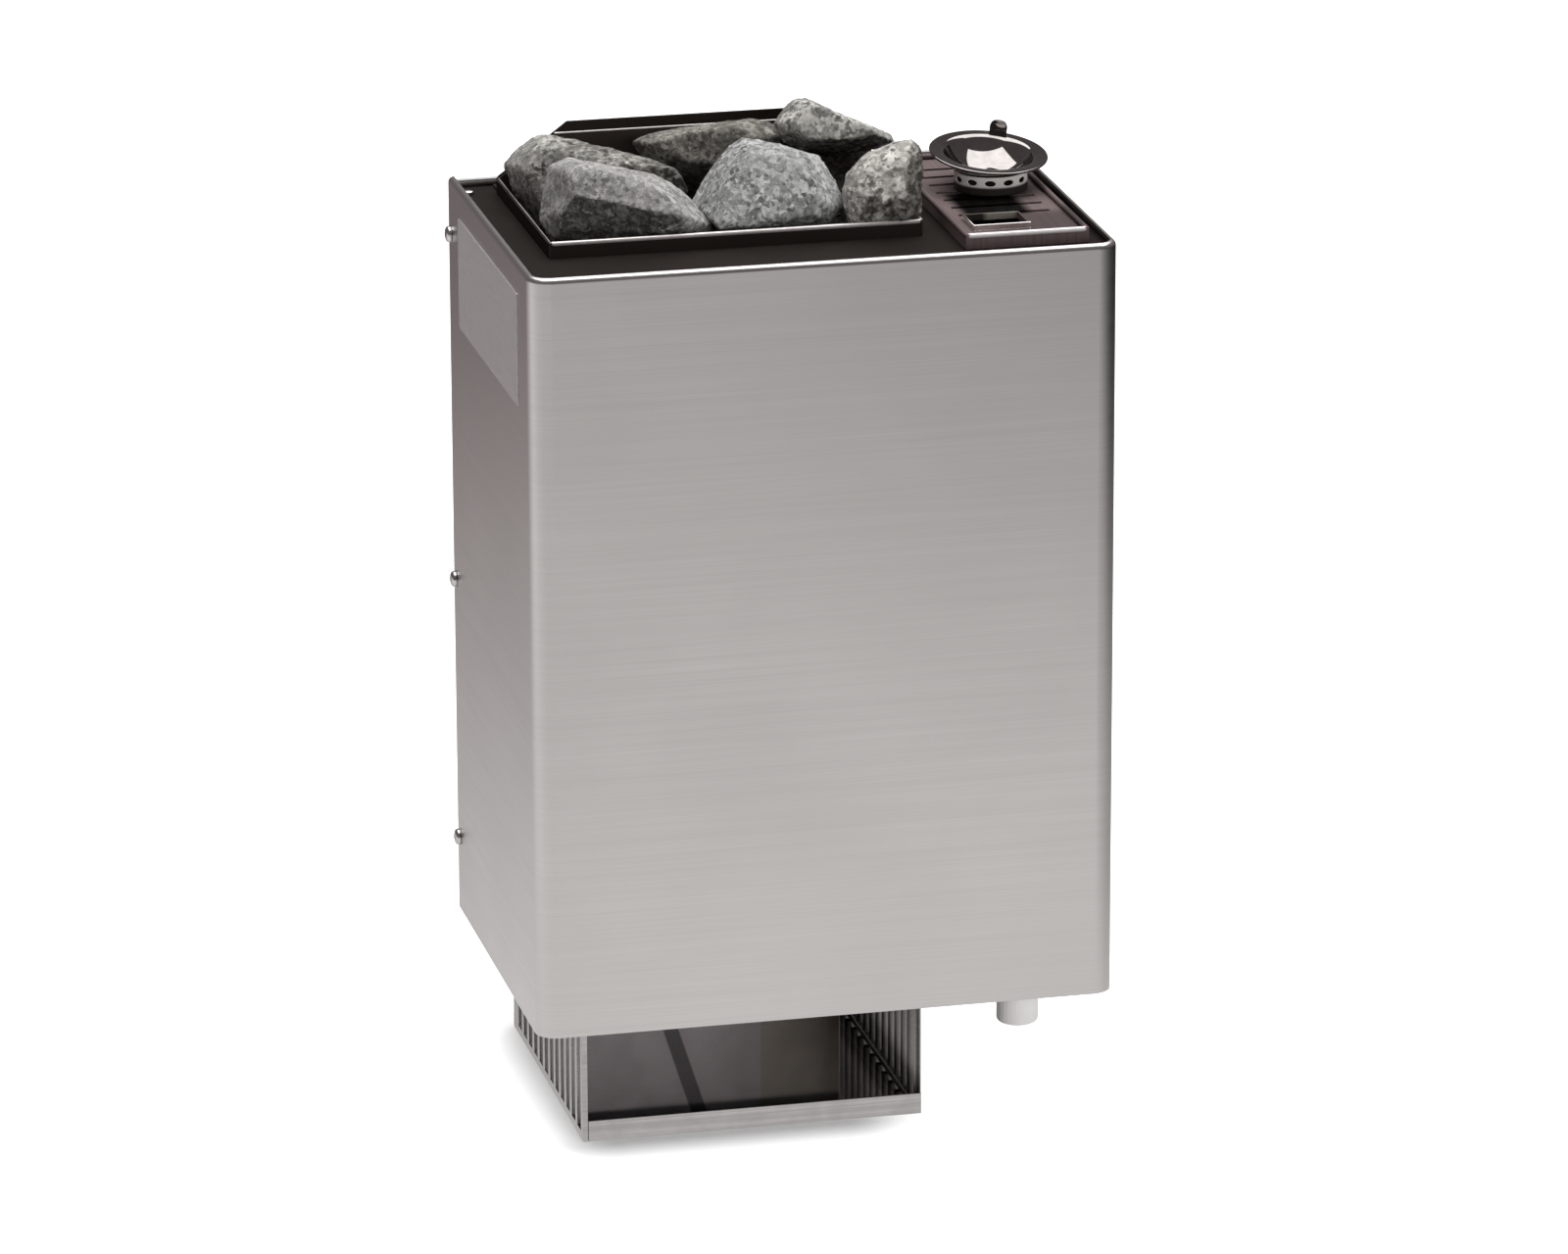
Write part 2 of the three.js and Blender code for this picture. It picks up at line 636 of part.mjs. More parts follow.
const outside = containerWidth + containerDepth;
const containerMouth = rimTop + stoneLedge;
const stoneLimits = [
  box(-outside, grateLeft, -outside, outside * 2, 0, containerMouth),
  box(grateRight, outside * 2, -outside, outside * 2, 0, containerMouth),
  box(-outside, outside * 2, -outside, grateFront, 0, containerMouth),
  box(-outside, outside * 2, grateBack, outside * 2, 0, casingHeight + outside),
  box(-outside, outside * 2, -outside, outside * 2, 0, grateTop + fit),
];
for (const stone of stones) {
  const shaped = cut(stone.body, ...stoneCuts.get(stone), ...stoneLimits);
  place(stone.name, shaped, stoneGrey);
}

// Heating chamber: an open shaft from the duct to the container, with three hairpin elements across it
const elementMiddle = (chamberFront + chamberBack) / 2;
const elementRows = Array.from({ length: elementCount }, (_, i) =>
  elementMiddle + (i - (elementCount - 1) / 2) * elementPitch);
const elementHoles = (radius, x0, x1) => elementRows.flatMap((y) =>
  [elementHigh, elementLow].map((z) => rodAlongX(radius, y, z, x0, x1)));
const chamberBottom = bottomTop + fit;
place('heating_chamber', cut(
  frameWalls(chamberLeft, chamberRight, chamberFront, chamberBack, chamberBottom, chamberTop, chamberSheet),
  ...elementHoles(elementRadius + elementHole, chamberRight - 2 * chamberSheet, chamberRight + past),
), galvanised);

// A tube along a line, a half circle and a line back
function hairpin(start, along, across, straight, bend, radius) {
  const spread = across.clone().multiplyScalar(2 * bend);
  const turnStart = start.clone().addScaledVector(along, straight);
  const path = new THREE.CurvePath();
  path.add(new THREE.LineCurve3(start, turnStart));
  const arcPoint = (i) => {
    const angle = Math.PI * i / bendSteps;
    return turnStart.clone().addScaledVector(across, bend * (1 - Math.cos(angle)))
      .addScaledVector(along, bend * Math.sin(angle));
  };
  path.add(new THREE.CatmullRomCurve3(Array.from({ length: bendSteps + 1 }, (_, i) => arcPoint(i))));
  path.add(new THREE.LineCurve3(turnStart.clone().add(spread), start.clone().add(spread)));
  const section = new THREE.Shape().absarc(0, 0, radius, 0, 2 * Math.PI, false);
  const options = { steps: tubeSteps, curveSegments: tubeSegments, extrudePath: path };
  return solid(new THREE.ExtrudeGeometry(section, options));
}

const elementEnd = partitionLeft + partitionSheet + elementReach;
const elementStraight = elementEnd - (chamberLeft + chamberSheet + elementLeftGap + elementBend);
elementRows.forEach((y, i) => {
  place(`heating_element_${i + 1}`, hairpin(
    new THREE.Vector3(elementEnd, y, elementLow),
    new THREE.Vector3(-1, 0, 0),
    new THREE.Vector3(0, 0, 1),
    elementStraight,
    elementBend,
    elementRadius,
  ), elementSteel);
});

// Partition between the chamber and the electrical side, which carries the elements' cold ends
place('partition_wall', cut(
  box(partitionLeft, partitionLeft + partitionSheet, partitionFront, insideBack, bottomTop + fit, chamberTop),
  ...elementHoles(elementRadius + fit, partitionLeft - past, partitionLeft + partitionSheet + past),
), galvanised);

// Heat shield in front of the chamber and along its left side
const shieldBottom = ductTop + fit;
const shieldTop = plateUnder - shieldDrop;
place('heat_shield', joined(
  box(shieldLeft, partitionLeft - fit, shieldFront, shieldFront + shieldSheet, shieldBottom, shieldTop),
  box(shieldLeft, shieldLeft + shieldSheet, shieldFront, insideBack, shieldBottom, shieldTop),
), galvanised);

// Intake duct: slotted side walls, a rear wall and a floor whose folded lip reaches across the right wall
const slitStart = ductSetback + slitMargin;
const slitCount = Math.floor((ductBack - slitEnd - slitWidth - slitStart) / slitPitch) + 1;
const slits = Array.from({ length: slitCount }, (_, i) => {
  const y = slitStart + i * slitPitch;
  return box(ductLeft - past, ductRight + past, y, y + slitWidth, slitFoot - ductDrop, -slitHead);
});
const lipLeft = ductLeft + ductFold + fit;
const lipBack = ductSetback + ductSheet;
const ductWall = (x, front) => cut(box(x, x + ductSheet, front, ductBack, -ductDrop, ductTop), ...slits);
const leftFold = box(ductLeft, ductLeft + ductFold, ductSetback, lipBack, -ductDrop, ductTop);
place('duct_left_wall', ductWall(ductLeft, ductSetback).add(leftFold), galvanised);
place('duct_right_wall', ductWall(ductRight - ductSheet, lipBack + fit), galvanised);
place('duct_rear_wall',
  box(chamberLeft, chamberRight, ductBack - ductSheet, ductBack, -ductDrop, ductTop), galvanised);
const floorBack = ductBack - ductSheet - fit;
place('duct_floor', joined(
  box(chamberLeft, chamberRight, lipBack + fit, floorBack, -ductDrop, ductSheet - ductDrop),
  box(lipLeft, chamberRight, ductSetback, floorBack, -ductDrop, ductSheet - ductDrop),
  box(lipLeft, ductRight, ductSetback, lipBack, -ductDrop, ductLip - ductDrop),
), brushedSteel);

// Bottom plate with openings for the duct, the drain and the cable entry
const glandY = casingDepth - glandRear;
place('bottom_plate', cut(
  prism(plateOutline(), bottomPlateLift, bottomTop),
  box(ductLeft - fit, ductRight + fit, ductSetback - fit, ductBack + fit, 0, casingHeight),
  rod(drainRadius + fit, coverMiddle, drainY, 0, casingHeight, pipeSides),
  rod(glandRadius + fit, coverMiddle, glandY, 0, casingHeight, pipeSides),
), galvanised);

// Evaporator tank, hung by its flange in the top plate
const flangeInset = coverSheet + tankFlangeGap;
const evaporatorLegs = [coverMiddle - evaporatorBend, coverMiddle + evaporatorBend];
const tankShell = joined(
  frameWalls(tankLeft, tankRight, tankFront, tankBack, tankBottom, coverSeat + tankSheet, tankSheet),
  box(tankLeft, tankRight, tankFront, tankBack, tankBottom, tankFloor),
  frameWalls(coverLeft + flangeInset, coverRight - flangeInset, coverFront + flangeInset,
    coverBack - flangeInset, coverSeat, coverSeat + tankSheet, tankInset - flangeInset + tankSheet),
);
place('evaporator_tank', cut(
  tankShell,
  rod(drainRadius + fit, coverMiddle, drainY, tankBottom - past, tankFloor + past, pipeSides),
  ...evaporatorLegs.map((x) =>
    rodAlongY(evaporatorRadius + fit, x, evaporatorZ, tankFront - past, tankFront + tankSheet + past)),
), polishedSteel);

// Evaporator element with its two gland nuts, and the thermal cut-out under the tank
const evaporatorStart = tankFront - evaporatorReach;
const evaporatorStraight = tankBack - evaporatorRear - evaporatorBend - evaporatorStart;
place('evaporator_element', hairpin(
  new THREE.Vector3(evaporatorLegs[0], evaporatorStart, evaporatorZ),
  new THREE.Vector3(0, 1, 0),
  new THREE.Vector3(1, 0, 0),
  evaporatorStraight,
  evaporatorBend,
  evaporatorRadius,
), elementSteel);
evaporatorLegs.forEach((x, i) => {
  const nut = cut(
    hexagon(evaporatorNutFlats, 0, evaporatorNutHeight, 0, 0),
    rod(evaporatorRadius + fit, 0, 0, -past, evaporatorNutHeight + past),
  );
  const mesh = place(`evaporator_nut_${i + 1}`, nut, screwSteel);
  mesh.position.set(x, tankFront - fit, evaporatorZ);
  mesh.rotation.x = Math.PI / 2;
});
const cutoutTop = tankBottom - fit;
const cutoutWaist = cutoutTop - cutoutHeight / 2;
const cutoutFoot = cutoutTop - cutoutHeight;
place('thermal_cutout', turned([
  [0, cutoutFoot], [cutoutNeck, cutoutFoot], [cutoutNeck, cutoutWaist], [cutoutRadius, cutoutWaist],
  [cutoutRadius, cutoutTop], [0, cutoutTop],
], coverMiddle, tankFront + cutoutSetback, pipeSides), ceramicWhite);

// Steam cover: a shallow slotted tray turned over the tank, with a rimmed filling opening near its front
const slotRun = coverBack - coverFront - slotFirst - slotRearMargin;
const slotCount = Math.floor(slotRun / slotPitch) + 1;
const coverSlots = Array.from({ length: slotCount }, (_, i) => {
  const y = coverFront + slotFirst + i * slotPitch;
  const x = slotLength / 2;
  return box(coverMiddle - x, coverMiddle + x, y - slotWidth / 2, y + slotWidth / 2, 0, rimTop);
});
const fillLeft = coverLeft + fillInset;
const fillFront = coverFront + fillSetback;
const fillHole = [fillLeft, fillLeft + fillWidth, fillFront, fillFront + fillDepth];
const coverTray = joined(
  frameWalls(coverLeft, coverRight, coverFront, coverBack, coverSeat, rimTop, coverSheet),
  box(coverLeft, coverRight, coverFront, coverBack, panelTop - coverSheet, panelTop),
);
place('steam_cover', joined(
  cut(coverTray, box(...fillHole, 0, rimTop), ...coverSlots),
  frameWalls(...fillHole, panelTop - coverSheet, panelTop + fillRim, coverSheet),
), darkSteel);

// Perforated collar and the aroma dish that sits in it
const collarWall = cut(
  rod(collarRadius, dishX, dishY, collarSeat, collarTop, dishSides),
  rod(collarRadius - collarSheet, dishX, dishY, collarSeat - past, collarTop + past, dishSides),
);
const collarDrills = Array.from({ length: collarHoles / 2 }, (_, i) => {
  const half = collarHoleWidth / 2;
  const drill = new THREE.CylinderGeometry(half, half, 3 * collarRadius, holeSides).rotateZ(Math.PI / 2);
  drill.scale(1, 1, collarHoleHeight / collarHoleWidth).rotateZ((i + 0.5) * 2 * Math.PI / collarHoles);
  return solid(drill.translate(dishX, dishY, panelTop + collarHoleLift));
});
place('dish_collar', cut(collarWall, ...collarDrills), polishedSteel);

// The dish is a round bowl with a flat rim and an upturned edge. It lies loose on the collar's inner edge,
// so it can tilt about the middle of its sphere.
const dishSeat = collarRadius - collarSheet - fit;
const dishMiddle = Math.sqrt(dishCurve ** 2 - dishSeat ** 2); // above the collar
const dishTop = dishRim - dishMiddle;
const rimUnder = dishTop - dishLip;
function bowlArc(radius, top) {
  const [low, high] = [Math.asin(dishFloorRadius / dishCurve), Math.acos(-top / radius)];
  return Array.from({ length: bowlSteps + 1 }, (_, i) => {
    const angle = low + (high - low) * i / bowlSteps;
    return [radius * Math.sin(angle), -radius * Math.cos(angle)];
  });
}
const bowlOutside = bowlArc(dishCurve, rimUnder);
const bowlInside = bowlArc(dishCurve - dishSheet, rimUnder + dishSheet).reverse();
const dish = turned([
  [0, bowlOutside[0][1]], ...bowlOutside, [dishRadius, rimUnder], [dishRadius, dishTop],
  [dishRadius - dishSheet, dishTop], [dishRadius - dishSheet, rimUnder + dishSheet], ...bowlInside,
  [0, bowlInside.at(-1)[1]],
], 0, 0, dishSides);
const grip = solid(new THREE.BoxGeometry(gripSheet, gripWidth, gripHeight + dishLip)
  .translate(dishRadius - gripSheet / 2, 0, rimUnder + (gripHeight + dishLip) / 2)
  .rotateZ(THREE.MathUtils.degToRad(gripAngle)));
const aromaDish = place('aroma_dish', dish.add(grip), polishedSteel);
aromaDish.position.set(dishX, dishY, collarTop + dishMiddle);
aromaDish.rotation.set(THREE.MathUtils.degToRad(dishTilt), THREE.MathUtils.degToRad(dishLean), 0);

// Drain: a pipe from the tank's floor to a threaded spigot under the casing, with its nut, seal and cap
const spigotTop = bottomPlateLift - fit;
const pipeTop = tankFloor + fit + drainNutHeight;
const drainFlangeTop = tankBottom - fit;
const drainPipe = turned([
  [drainBore, -spigotDrop], [spigotRadius, -spigotDrop], [spigotRadius, spigotTop], [drainRadius, spigotTop],
  [drainRadius, drainFlangeTop - drainFlangeHeight], [drainFlange, drainFlangeTop - drainFlangeHeight],
  [drainFlange, drainFlangeTop], [drainRadius, drainFlangeTop], [drainRadius, pipeTop], [drainBore, pipeTop],
  [drainBore, -spigotDrop],
], coverMiddle, drainY, pipeSides);
place('drain_pipe', drainPipe, polishedSteel);
place('drain_lock_nut', cut(
  hexagon(drainNutFlats, tankFloor + fit, pipeTop, coverMiddle, drainY),
  rod(drainRadius + fit, coverMiddle, drainY, tankBottom, pipeTop + past, pipeSides),
), screwSteel);
const sealTop = -spigotDrop - fit;
const sealBottom = sealTop - sealHeight;
place('drain_seal', turned([
  [drainBore, sealBottom], [spigotRadius, sealBottom], [spigotRadius, sealTop], [drainBore, sealTop],
  [drainBore, sealBottom],
], coverMiddle, drainY, pipeSides), sealRubber);
const capInside = sealBottom - fit;
const capBottom = capInside - capFloor;
const capTop = capBottom + capHeight;
place('drain_cap', turned([
  [0, capBottom], [capRadius - capChamfer, capBottom], [capRadius, capBottom + capChamfer],
  [capRadius, capTop], [spigotRadius + fit, capTop], [spigotRadius + fit, capInside], [0, capInside],
], coverMiddle, drainY, capSides), whitePlastic);

// Terminal block on a shelf behind the drain, and the cable gland in the bottom plate
const shelfHalf = blockWidth / 2 + shelfOverhang;
place('terminal_shelf', joined(
  box(coverMiddle - shelfHalf, coverMiddle + shelfHalf, insideBack - shelfSheet, insideBack,
    shelfLift, shelfLift + shelfHeight),
  box(coverMiddle - shelfHalf, coverMiddle + shelfHalf, insideBack - shelfDepth, insideBack,
    shelfLift, shelfLift + shelfSheet),
), galvanised);
const blockBottom = shelfLift + shelfSheet + fit;
const blockBack = insideBack - (shelfDepth - blockDepth) / 2;
const blockHoles = Array.from({ length: blockPoles }, (_, i) => {
  const x = coverMiddle + blockWidth * ((i + 0.5) / blockPoles - 0.5);
  const z = blockBottom + blockHeight;
  return rod(blockHole, x, blockBack - blockDepth / 2, z - blockHeight / 2, z + past, holeSides);
});
place('terminal_block', cut(
  box(coverMiddle - blockWidth / 2, coverMiddle + blockWidth / 2, blockBack - blockDepth, blockBack,
    blockBottom, blockBottom + blockHeight),
  ...blockHoles,
), ceramicWhite);
const glandTop = bottomPlateLift - fit;
const glandFoot = glandTop - glandDrop;
place('cable_gland', turned([
  [glandBore, glandFoot], [glandNose, glandFoot], [glandHead, glandFoot + glandTaper],
  [glandHead, glandTop], [glandRadius, glandTop], [glandRadius, glandTop + glandNeck],
  [glandBore, glandTop + glandNeck], [glandBore, glandFoot],
], coverMiddle, glandY, pipeSides), greyPlastic);
place('gland_nut', cut(
  hexagon(glandNutFlats, bottomTop + fit, bottomTop + fit + glandNutHeight, coverMiddle, glandY),
  rod(glandRadius + fit, coverMiddle, glandY, 0, casingHeight, pipeSides),
), greyPlastic);

// Wall rails: channels behind the rear panel, the upper one with keyholes for two wall screws
function wallRail(z0, z1) {
  const [left, right] = [(casingWidth - railWidth) / 2, (casingWidth + railWidth) / 2];
  const [front, back] = [casingDepth + fit, casingDepth + railDepth];
  return joined(
    box(left, right, back - railSheet, back, z0, z1),
    box(left, right, front, back, z0, z0 + railSheet),
    box(left, right, front, back, z1 - railSheet, z1),
  );
}
const keyholeZ = casingHeight - railTop - railHeight / 2 - keyholeRise / 2;
const keyholes = [-1, 1].flatMap((side) => {
  const x = casingWidth / 2 + side * keyholeSpacing / 2;
  const [y0, y1] = [casingDepth + railDepth / 2, casingDepth + railDepth + past];
  return [
    rodAlongY(keyholeRadius, x, keyholeZ, y0, y1, pipeSides),
    box(x - keyholeNeck, x + keyholeNeck, y0, y1, keyholeZ, keyholeZ + keyholeRise),
  ];
});
place('hanging_rail', cut(
  wallRail(casingHeight - railTop - railHeight, casingHeight - railTop), ...keyholes), galvanised);
place('spacer_rail', wallRail(spacerLift, spacerLift + spacerHeight), galvanised);

const saunaHeater = new THREE.Group();
saunaHeater.add(heater);
export default saunaHeater;
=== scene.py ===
import bmesh
import bpy
import json
import math
import random
from mathutils import Matrix, Vector, noise


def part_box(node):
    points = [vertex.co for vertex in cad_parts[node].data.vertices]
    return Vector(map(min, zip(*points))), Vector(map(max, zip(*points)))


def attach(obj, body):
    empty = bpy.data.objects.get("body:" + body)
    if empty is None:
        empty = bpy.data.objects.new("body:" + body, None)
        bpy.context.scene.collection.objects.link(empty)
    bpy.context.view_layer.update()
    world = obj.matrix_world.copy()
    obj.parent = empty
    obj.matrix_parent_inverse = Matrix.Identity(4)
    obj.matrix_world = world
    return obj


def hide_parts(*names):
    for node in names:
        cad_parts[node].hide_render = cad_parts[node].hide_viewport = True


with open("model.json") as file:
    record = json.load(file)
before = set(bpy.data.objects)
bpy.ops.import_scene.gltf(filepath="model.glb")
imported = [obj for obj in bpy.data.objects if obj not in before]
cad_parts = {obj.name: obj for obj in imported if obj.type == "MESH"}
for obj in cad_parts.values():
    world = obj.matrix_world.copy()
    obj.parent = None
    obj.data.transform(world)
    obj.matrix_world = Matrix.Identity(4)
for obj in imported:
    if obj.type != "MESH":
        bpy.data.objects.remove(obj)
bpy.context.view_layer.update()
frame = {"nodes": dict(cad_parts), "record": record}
scene = bpy.context.scene
mm = 0.001
scene.view_settings.view_transform = "Standard"
print("frame loaded:", len(frame["nodes"]), "nodes")


# small helpers for node trees
def addNode(tree, kind, inputs=None, **settings):
    node = tree.nodes.new("ShaderNode" + kind)
    for name, value in settings.items():
        setattr(node, name, value)
    for socket, value in (inputs or {}).items():
        if isinstance(value, bpy.types.NodeSocket):
            tree.links.new(value, node.inputs[socket])
        else:
            node.inputs[socket].default_value = value
    return node


def mixColours(tree, factor, first, second, blend="MIX"):
    node = addNode(tree, "Mix", data_type="RGBA", blend_type=blend)
    for socket, value in ((0, factor), (6, first), (7, second)):
        if isinstance(value, bpy.types.NodeSocket):
            tree.links.new(value, node.inputs[socket])
        else:
            node.inputs[socket].default_value = value
    return node.outputs[2]


def remap(tree, value, low, high, toLow=0.0, toHigh=1.0):
    inputs = {"Value": value, "From Min": low, "From Max": high, "To Min": toLow, "To Max": toHigh}
    return addNode(tree, "MapRange", inputs).outputs["Result"]


def newGroup(name, inputs, outputs):
    tree = bpy.data.node_groups.new(name, "ShaderNodeTree")
    for label, kind, value in inputs:
        socket = tree.interface.new_socket(label, in_out="INPUT", socket_type="NodeSocket" + kind)
        socket.default_value = value
    for label, kind in outputs:
        tree.interface.new_socket(label, in_out="OUTPUT", socket_type="NodeSocket" + kind)
    return tree, tree.nodes.new("NodeGroupInput"), tree.nodes.new("NodeGroupOutput")


# fine parallel lines left by a brushing belt
def buildGrainGroup():
    inputs = [("Vector", "Vector", (0, 0, 0)), ("Stretch", "Vector", (6, 6, 1500))]
    tree, given, out = newGroup("brushedGrain", inputs, [("Lines", "Float"), ("Bands", "Float")])
    mapped = addNode(tree, "Mapping", {"Vector": given.outputs["Vector"], "Scale": given.outputs["Stretch"]})
    lines = addNode(tree, "TexNoise", {"Vector": mapped.outputs[0], "Scale": 1, "Detail": 3, "Roughness": 0.6})
    bands = addNode(tree, "TexNoise", {"Vector": mapped.outputs[0], "Scale": 0.09, "Detail": 2})
    tree.links.new(lines.outputs[0], out.inputs["Lines"])
    tree.links.new(bands.outputs[0], out.inputs["Bands"])
    return tree


# soft blotches: finger marks, dust and uneven polish
def buildSmudgeGroup():
    inputs = [("Vector", "Vector", (0, 0, 0)), ("Size", "Float", 12), ("Low", "Float", 0.4), ("High", "Float", 0.7)]
    tree, given, out = newGroup("smudges", inputs, [("Mask", "Float"), ("Fine", "Float")])
    wide = addNode(tree, "TexNoise", {
        "Vector": given.outputs["Vector"], "Scale": given.outputs["Size"], "Detail": 4, "Distortion": 0.6})
    spread = addNode(tree, "MapRange", {
        "Value": wide.outputs[0], "From Min": given.outputs["Low"], "From Max": given.outputs["High"]})
    fine = addNode(tree, "TexNoise", {"Vector": given.outputs["Vector"], "Scale": 900, "Detail": 2})
    tree.links.new(spread.outputs[0], out.inputs["Mask"])
    tree.links.new(fine.outputs[0], out.inputs["Fine"])
    return tree


# bare metal where hands and tools rub the finish off an edge
def buildWearGroup():
    inputs = [("Vector", "Vector", (0, 0, 0)), ("Radius", "Float", 0.0008), ("Amount", "Float", 0.6)]
    tree, given, out = newGroup("edgeWear", inputs, [("Mask", "Float")])
    rounded = addNode(tree, "Bevel", {"Radius": given.outputs["Radius"]}, samples=4)
    flat = addNode(tree, "NewGeometry").outputs["Normal"]
    turned = addNode(tree, "VectorMath", {0: flat, 1: rounded.outputs[0]}, operation="DOT_PRODUCT")
    edge = remap(tree, turned.outputs["Value"], 0.985, 0.88)
    patchy = addNode(tree, "TexNoise", {"Vector": given.outputs["Vector"], "Scale": 120, "Detail": 3})
    broken = addNode(tree, "Math", {0: edge, 1: remap(tree, patchy.outputs[0], 0.3, 0.6)}, operation="MULTIPLY")
    worn = addNode(tree, "Math", {0: broken.outputs[0], 1: given.outputs["Amount"]}, operation="MULTIPLY")
    tree.links.new(worn.outputs[0], out.inputs["Mask"])
    return tree


# granite: pale and dark crystals with black flakes, clouded over wide patches, with brown stains
def buildGraniteGroup():
    inputs = [("Vector", "Vector", (0, 0, 0)), ("Pale", "Color", (0.8, 0.8, 0.8, 1)),
              ("Dark", "Color", (0.1, 0.1, 0.1, 1)), ("Stain", "Float", 0.4), ("Pepper", "Float", 0.5)]
    tree, given, out = newGroup("graniteGrain", inputs, [("Colour", "Color"), ("Relief", "Float")])
    place = given.outputs["Vector"]
    wobble = addNode(tree, "TexNoise", {"Vector": place, "Scale": 300, "Detail": 3})
    shaken = mixColours(tree, 0.003, place, wobble.outputs["Color"], "ADD")
    crystals = addNode(tree, "TexVoronoi", {"Vector": shaken, "Scale": 430})
    tone = addNode(tree, "SeparateColor", {0: crystals.outputs["Color"]})
    pale, dark = given.outputs["Pale"], given.outputs["Dark"]
    speckled = mixColours(tree, remap(tree, tone.outputs[0], -0.04, 0.8), dark, pale)
    flakes = addNode(tree, "TexVoronoi", {"Vector": shaken, "Scale": 230})
    chance = addNode(tree, "SeparateColor", {0: flakes.outputs["Color"]})
    black = addNode(tree, "Math", {0: remap(tree, chance.outputs[1], 0.6, 0.8), 1: given.outputs["Pepper"]},
                    operation="MULTIPLY")
    peppered = mixColours(tree, black.outputs[0], speckled, dark)
    cloud = addNode(tree, "TexNoise", {"Vector": place, "Scale": 60, "Detail": 5, "Roughness": 0.65})
    veiled = mixColours(tree, remap(tree, cloud.outputs[0], 0.42, 0.64, 0, 0.5), peppered,
                        mixColours(tree, 0.72, dark, pale))
    stain = addNode(tree, "TexNoise", {"Vector": place, "Scale": 38, "Detail": 5, "Distortion": 0.5})
    amount = addNode(tree, "Math", {0: remap(tree, stain.outputs[0], 0.46, 0.62), 1: given.outputs["Stain"]},
                     operation="MULTIPLY")
    stained = mixColours(tree, amount.outputs[0], veiled, mixColours(tree, 0.14, dark, pale))
    crumbs = addNode(tree, "TexNoise", {"Vector": place, "Scale": 420, "Detail": 5, "Roughness": 0.7})
    tree.links.new(stained, out.inputs["Colour"])
    tree.links.new(crumbs.outputs[0], out.inputs["Relief"])
    return tree


# a patch: one inside a box, fading to nothing over a soft border
def buildPatchGroup():
    inputs = [("Vector", "Vector", (0, 0, 0)), ("Centre", "Vector", (0, 0, 0)), ("Half", "Vector", (0, 0, 0)),
              ("Soft", "Float", 0.01), ("Turn", "Float", 0)]
    tree, given, out = newGroup("patch", inputs, [("Mask", "Float")])
    centre = given.outputs["Centre"]
    turned = addNode(tree, "VectorRotate", {"Vector": given.outputs["Vector"], "Center": centre,
                                            "Angle": given.outputs["Turn"]}, rotation_type="Z_AXIS")
    offset = addNode(tree, "VectorMath", {0: turned.outputs[0], 1: centre}, operation="SUBTRACT")
    apart = addNode(tree, "VectorMath", {0: offset.outputs[0]}, operation="ABSOLUTE")
    past = addNode(tree, "VectorMath", {0: apart.outputs[0], 1: given.outputs["Half"]}, operation="SUBTRACT")
    outside = addNode(tree, "VectorMath", {0: past.outputs[0], 1: (0, 0, 0)}, operation="MAXIMUM")
    away = addNode(tree, "VectorMath", {0: outside.outputs[0]}, operation="LENGTH")
    fade = addNode(tree, "MapRange", {"Value": away.outputs["Value"], "From Min": 0, "From Max": given.outputs["Soft"],
                                      "To Min": 1, "To Max": 0}, interpolation_type="SMOOTHSTEP")
    tree.links.new(fade.outputs["Result"], out.inputs["Mask"])
    return tree


grainGroup = buildGrainGroup()
smudgeGroup = buildSmudgeGroup()
wearGroup = buildWearGroup()
graniteGroup = buildGraniteGroup()
patchGroup = buildPatchGroup()


def startMaterial(name):
    material = bpy.data.materials.new(name)
    material.use_nodes = True
    tree = material.node_tree
    place = addNode(tree, "TexCoord").outputs["Object"]
    return material, tree, tree.nodes["Principled BSDF"], place


def fillGroup(tree, group, inputs):
    node = tree.nodes.new("ShaderNodeGroup")
    node.node_tree = group
    for socket, value in inputs.items():
        if isinstance(value, bpy.types.NodeSocket):
            tree.links.new(value, node.inputs[socket])
        else:
            node.inputs[socket].default_value = value
    return node


def addBump(tree, shader, height, strength, distance):
    bump = addNode(tree, "Bump", {"Height": height, "Strength": strength, "Distance": distance})
    tree.links.new(bump.outputs[0], shader.inputs["Normal"])


# a metal sheet: brushed lines, blotches in colour and gloss
def sheetMetal(name, dark, light, gloss, stretch=(6, 6, 1500), smudge=(9, 0.35, 0.75), lineDepth=0.04, metallic=1.0,
               shine=0.5):
    material, tree, shader, place = startMaterial(name)
    grain = fillGroup(tree, grainGroup, {"Vector": place, "Stretch": stretch})
    marks = fillGroup(tree, smudgeGroup, {"Vector": place, "Size": smudge[0], "Low": smudge[1], "High": smudge[2]})
    colour = mixColours(tree, remap(tree, grain.outputs["Lines"], 0.3, 0.7), (*dark, 1), (*light, 1))
    tinted = mixColours(tree, remap(tree, marks.outputs["Mask"], 0, 1, 0, 0.35), colour, (*dark, 1))
    tree.links.new(tinted, shader.inputs["Base Color"])
    rough = remap(tree, grain.outputs["Bands"], 0.3, 0.7, gloss[0], gloss[1])
    worn = addNode(tree, "Math", {0: rough, 1: remap(tree, marks.outputs["Mask"], 0, 1, 0, 0.03)}, operation="ADD")
    tree.links.new(worn.outputs[0], shader.inputs["Roughness"])
    shader.inputs["Metallic"].default_value = metallic
    shader.inputs["Specular IOR Level"].default_value = shine
    addBump(tree, shader, grain.outputs["Lines"], lineDepth, 0.0002)
    return material


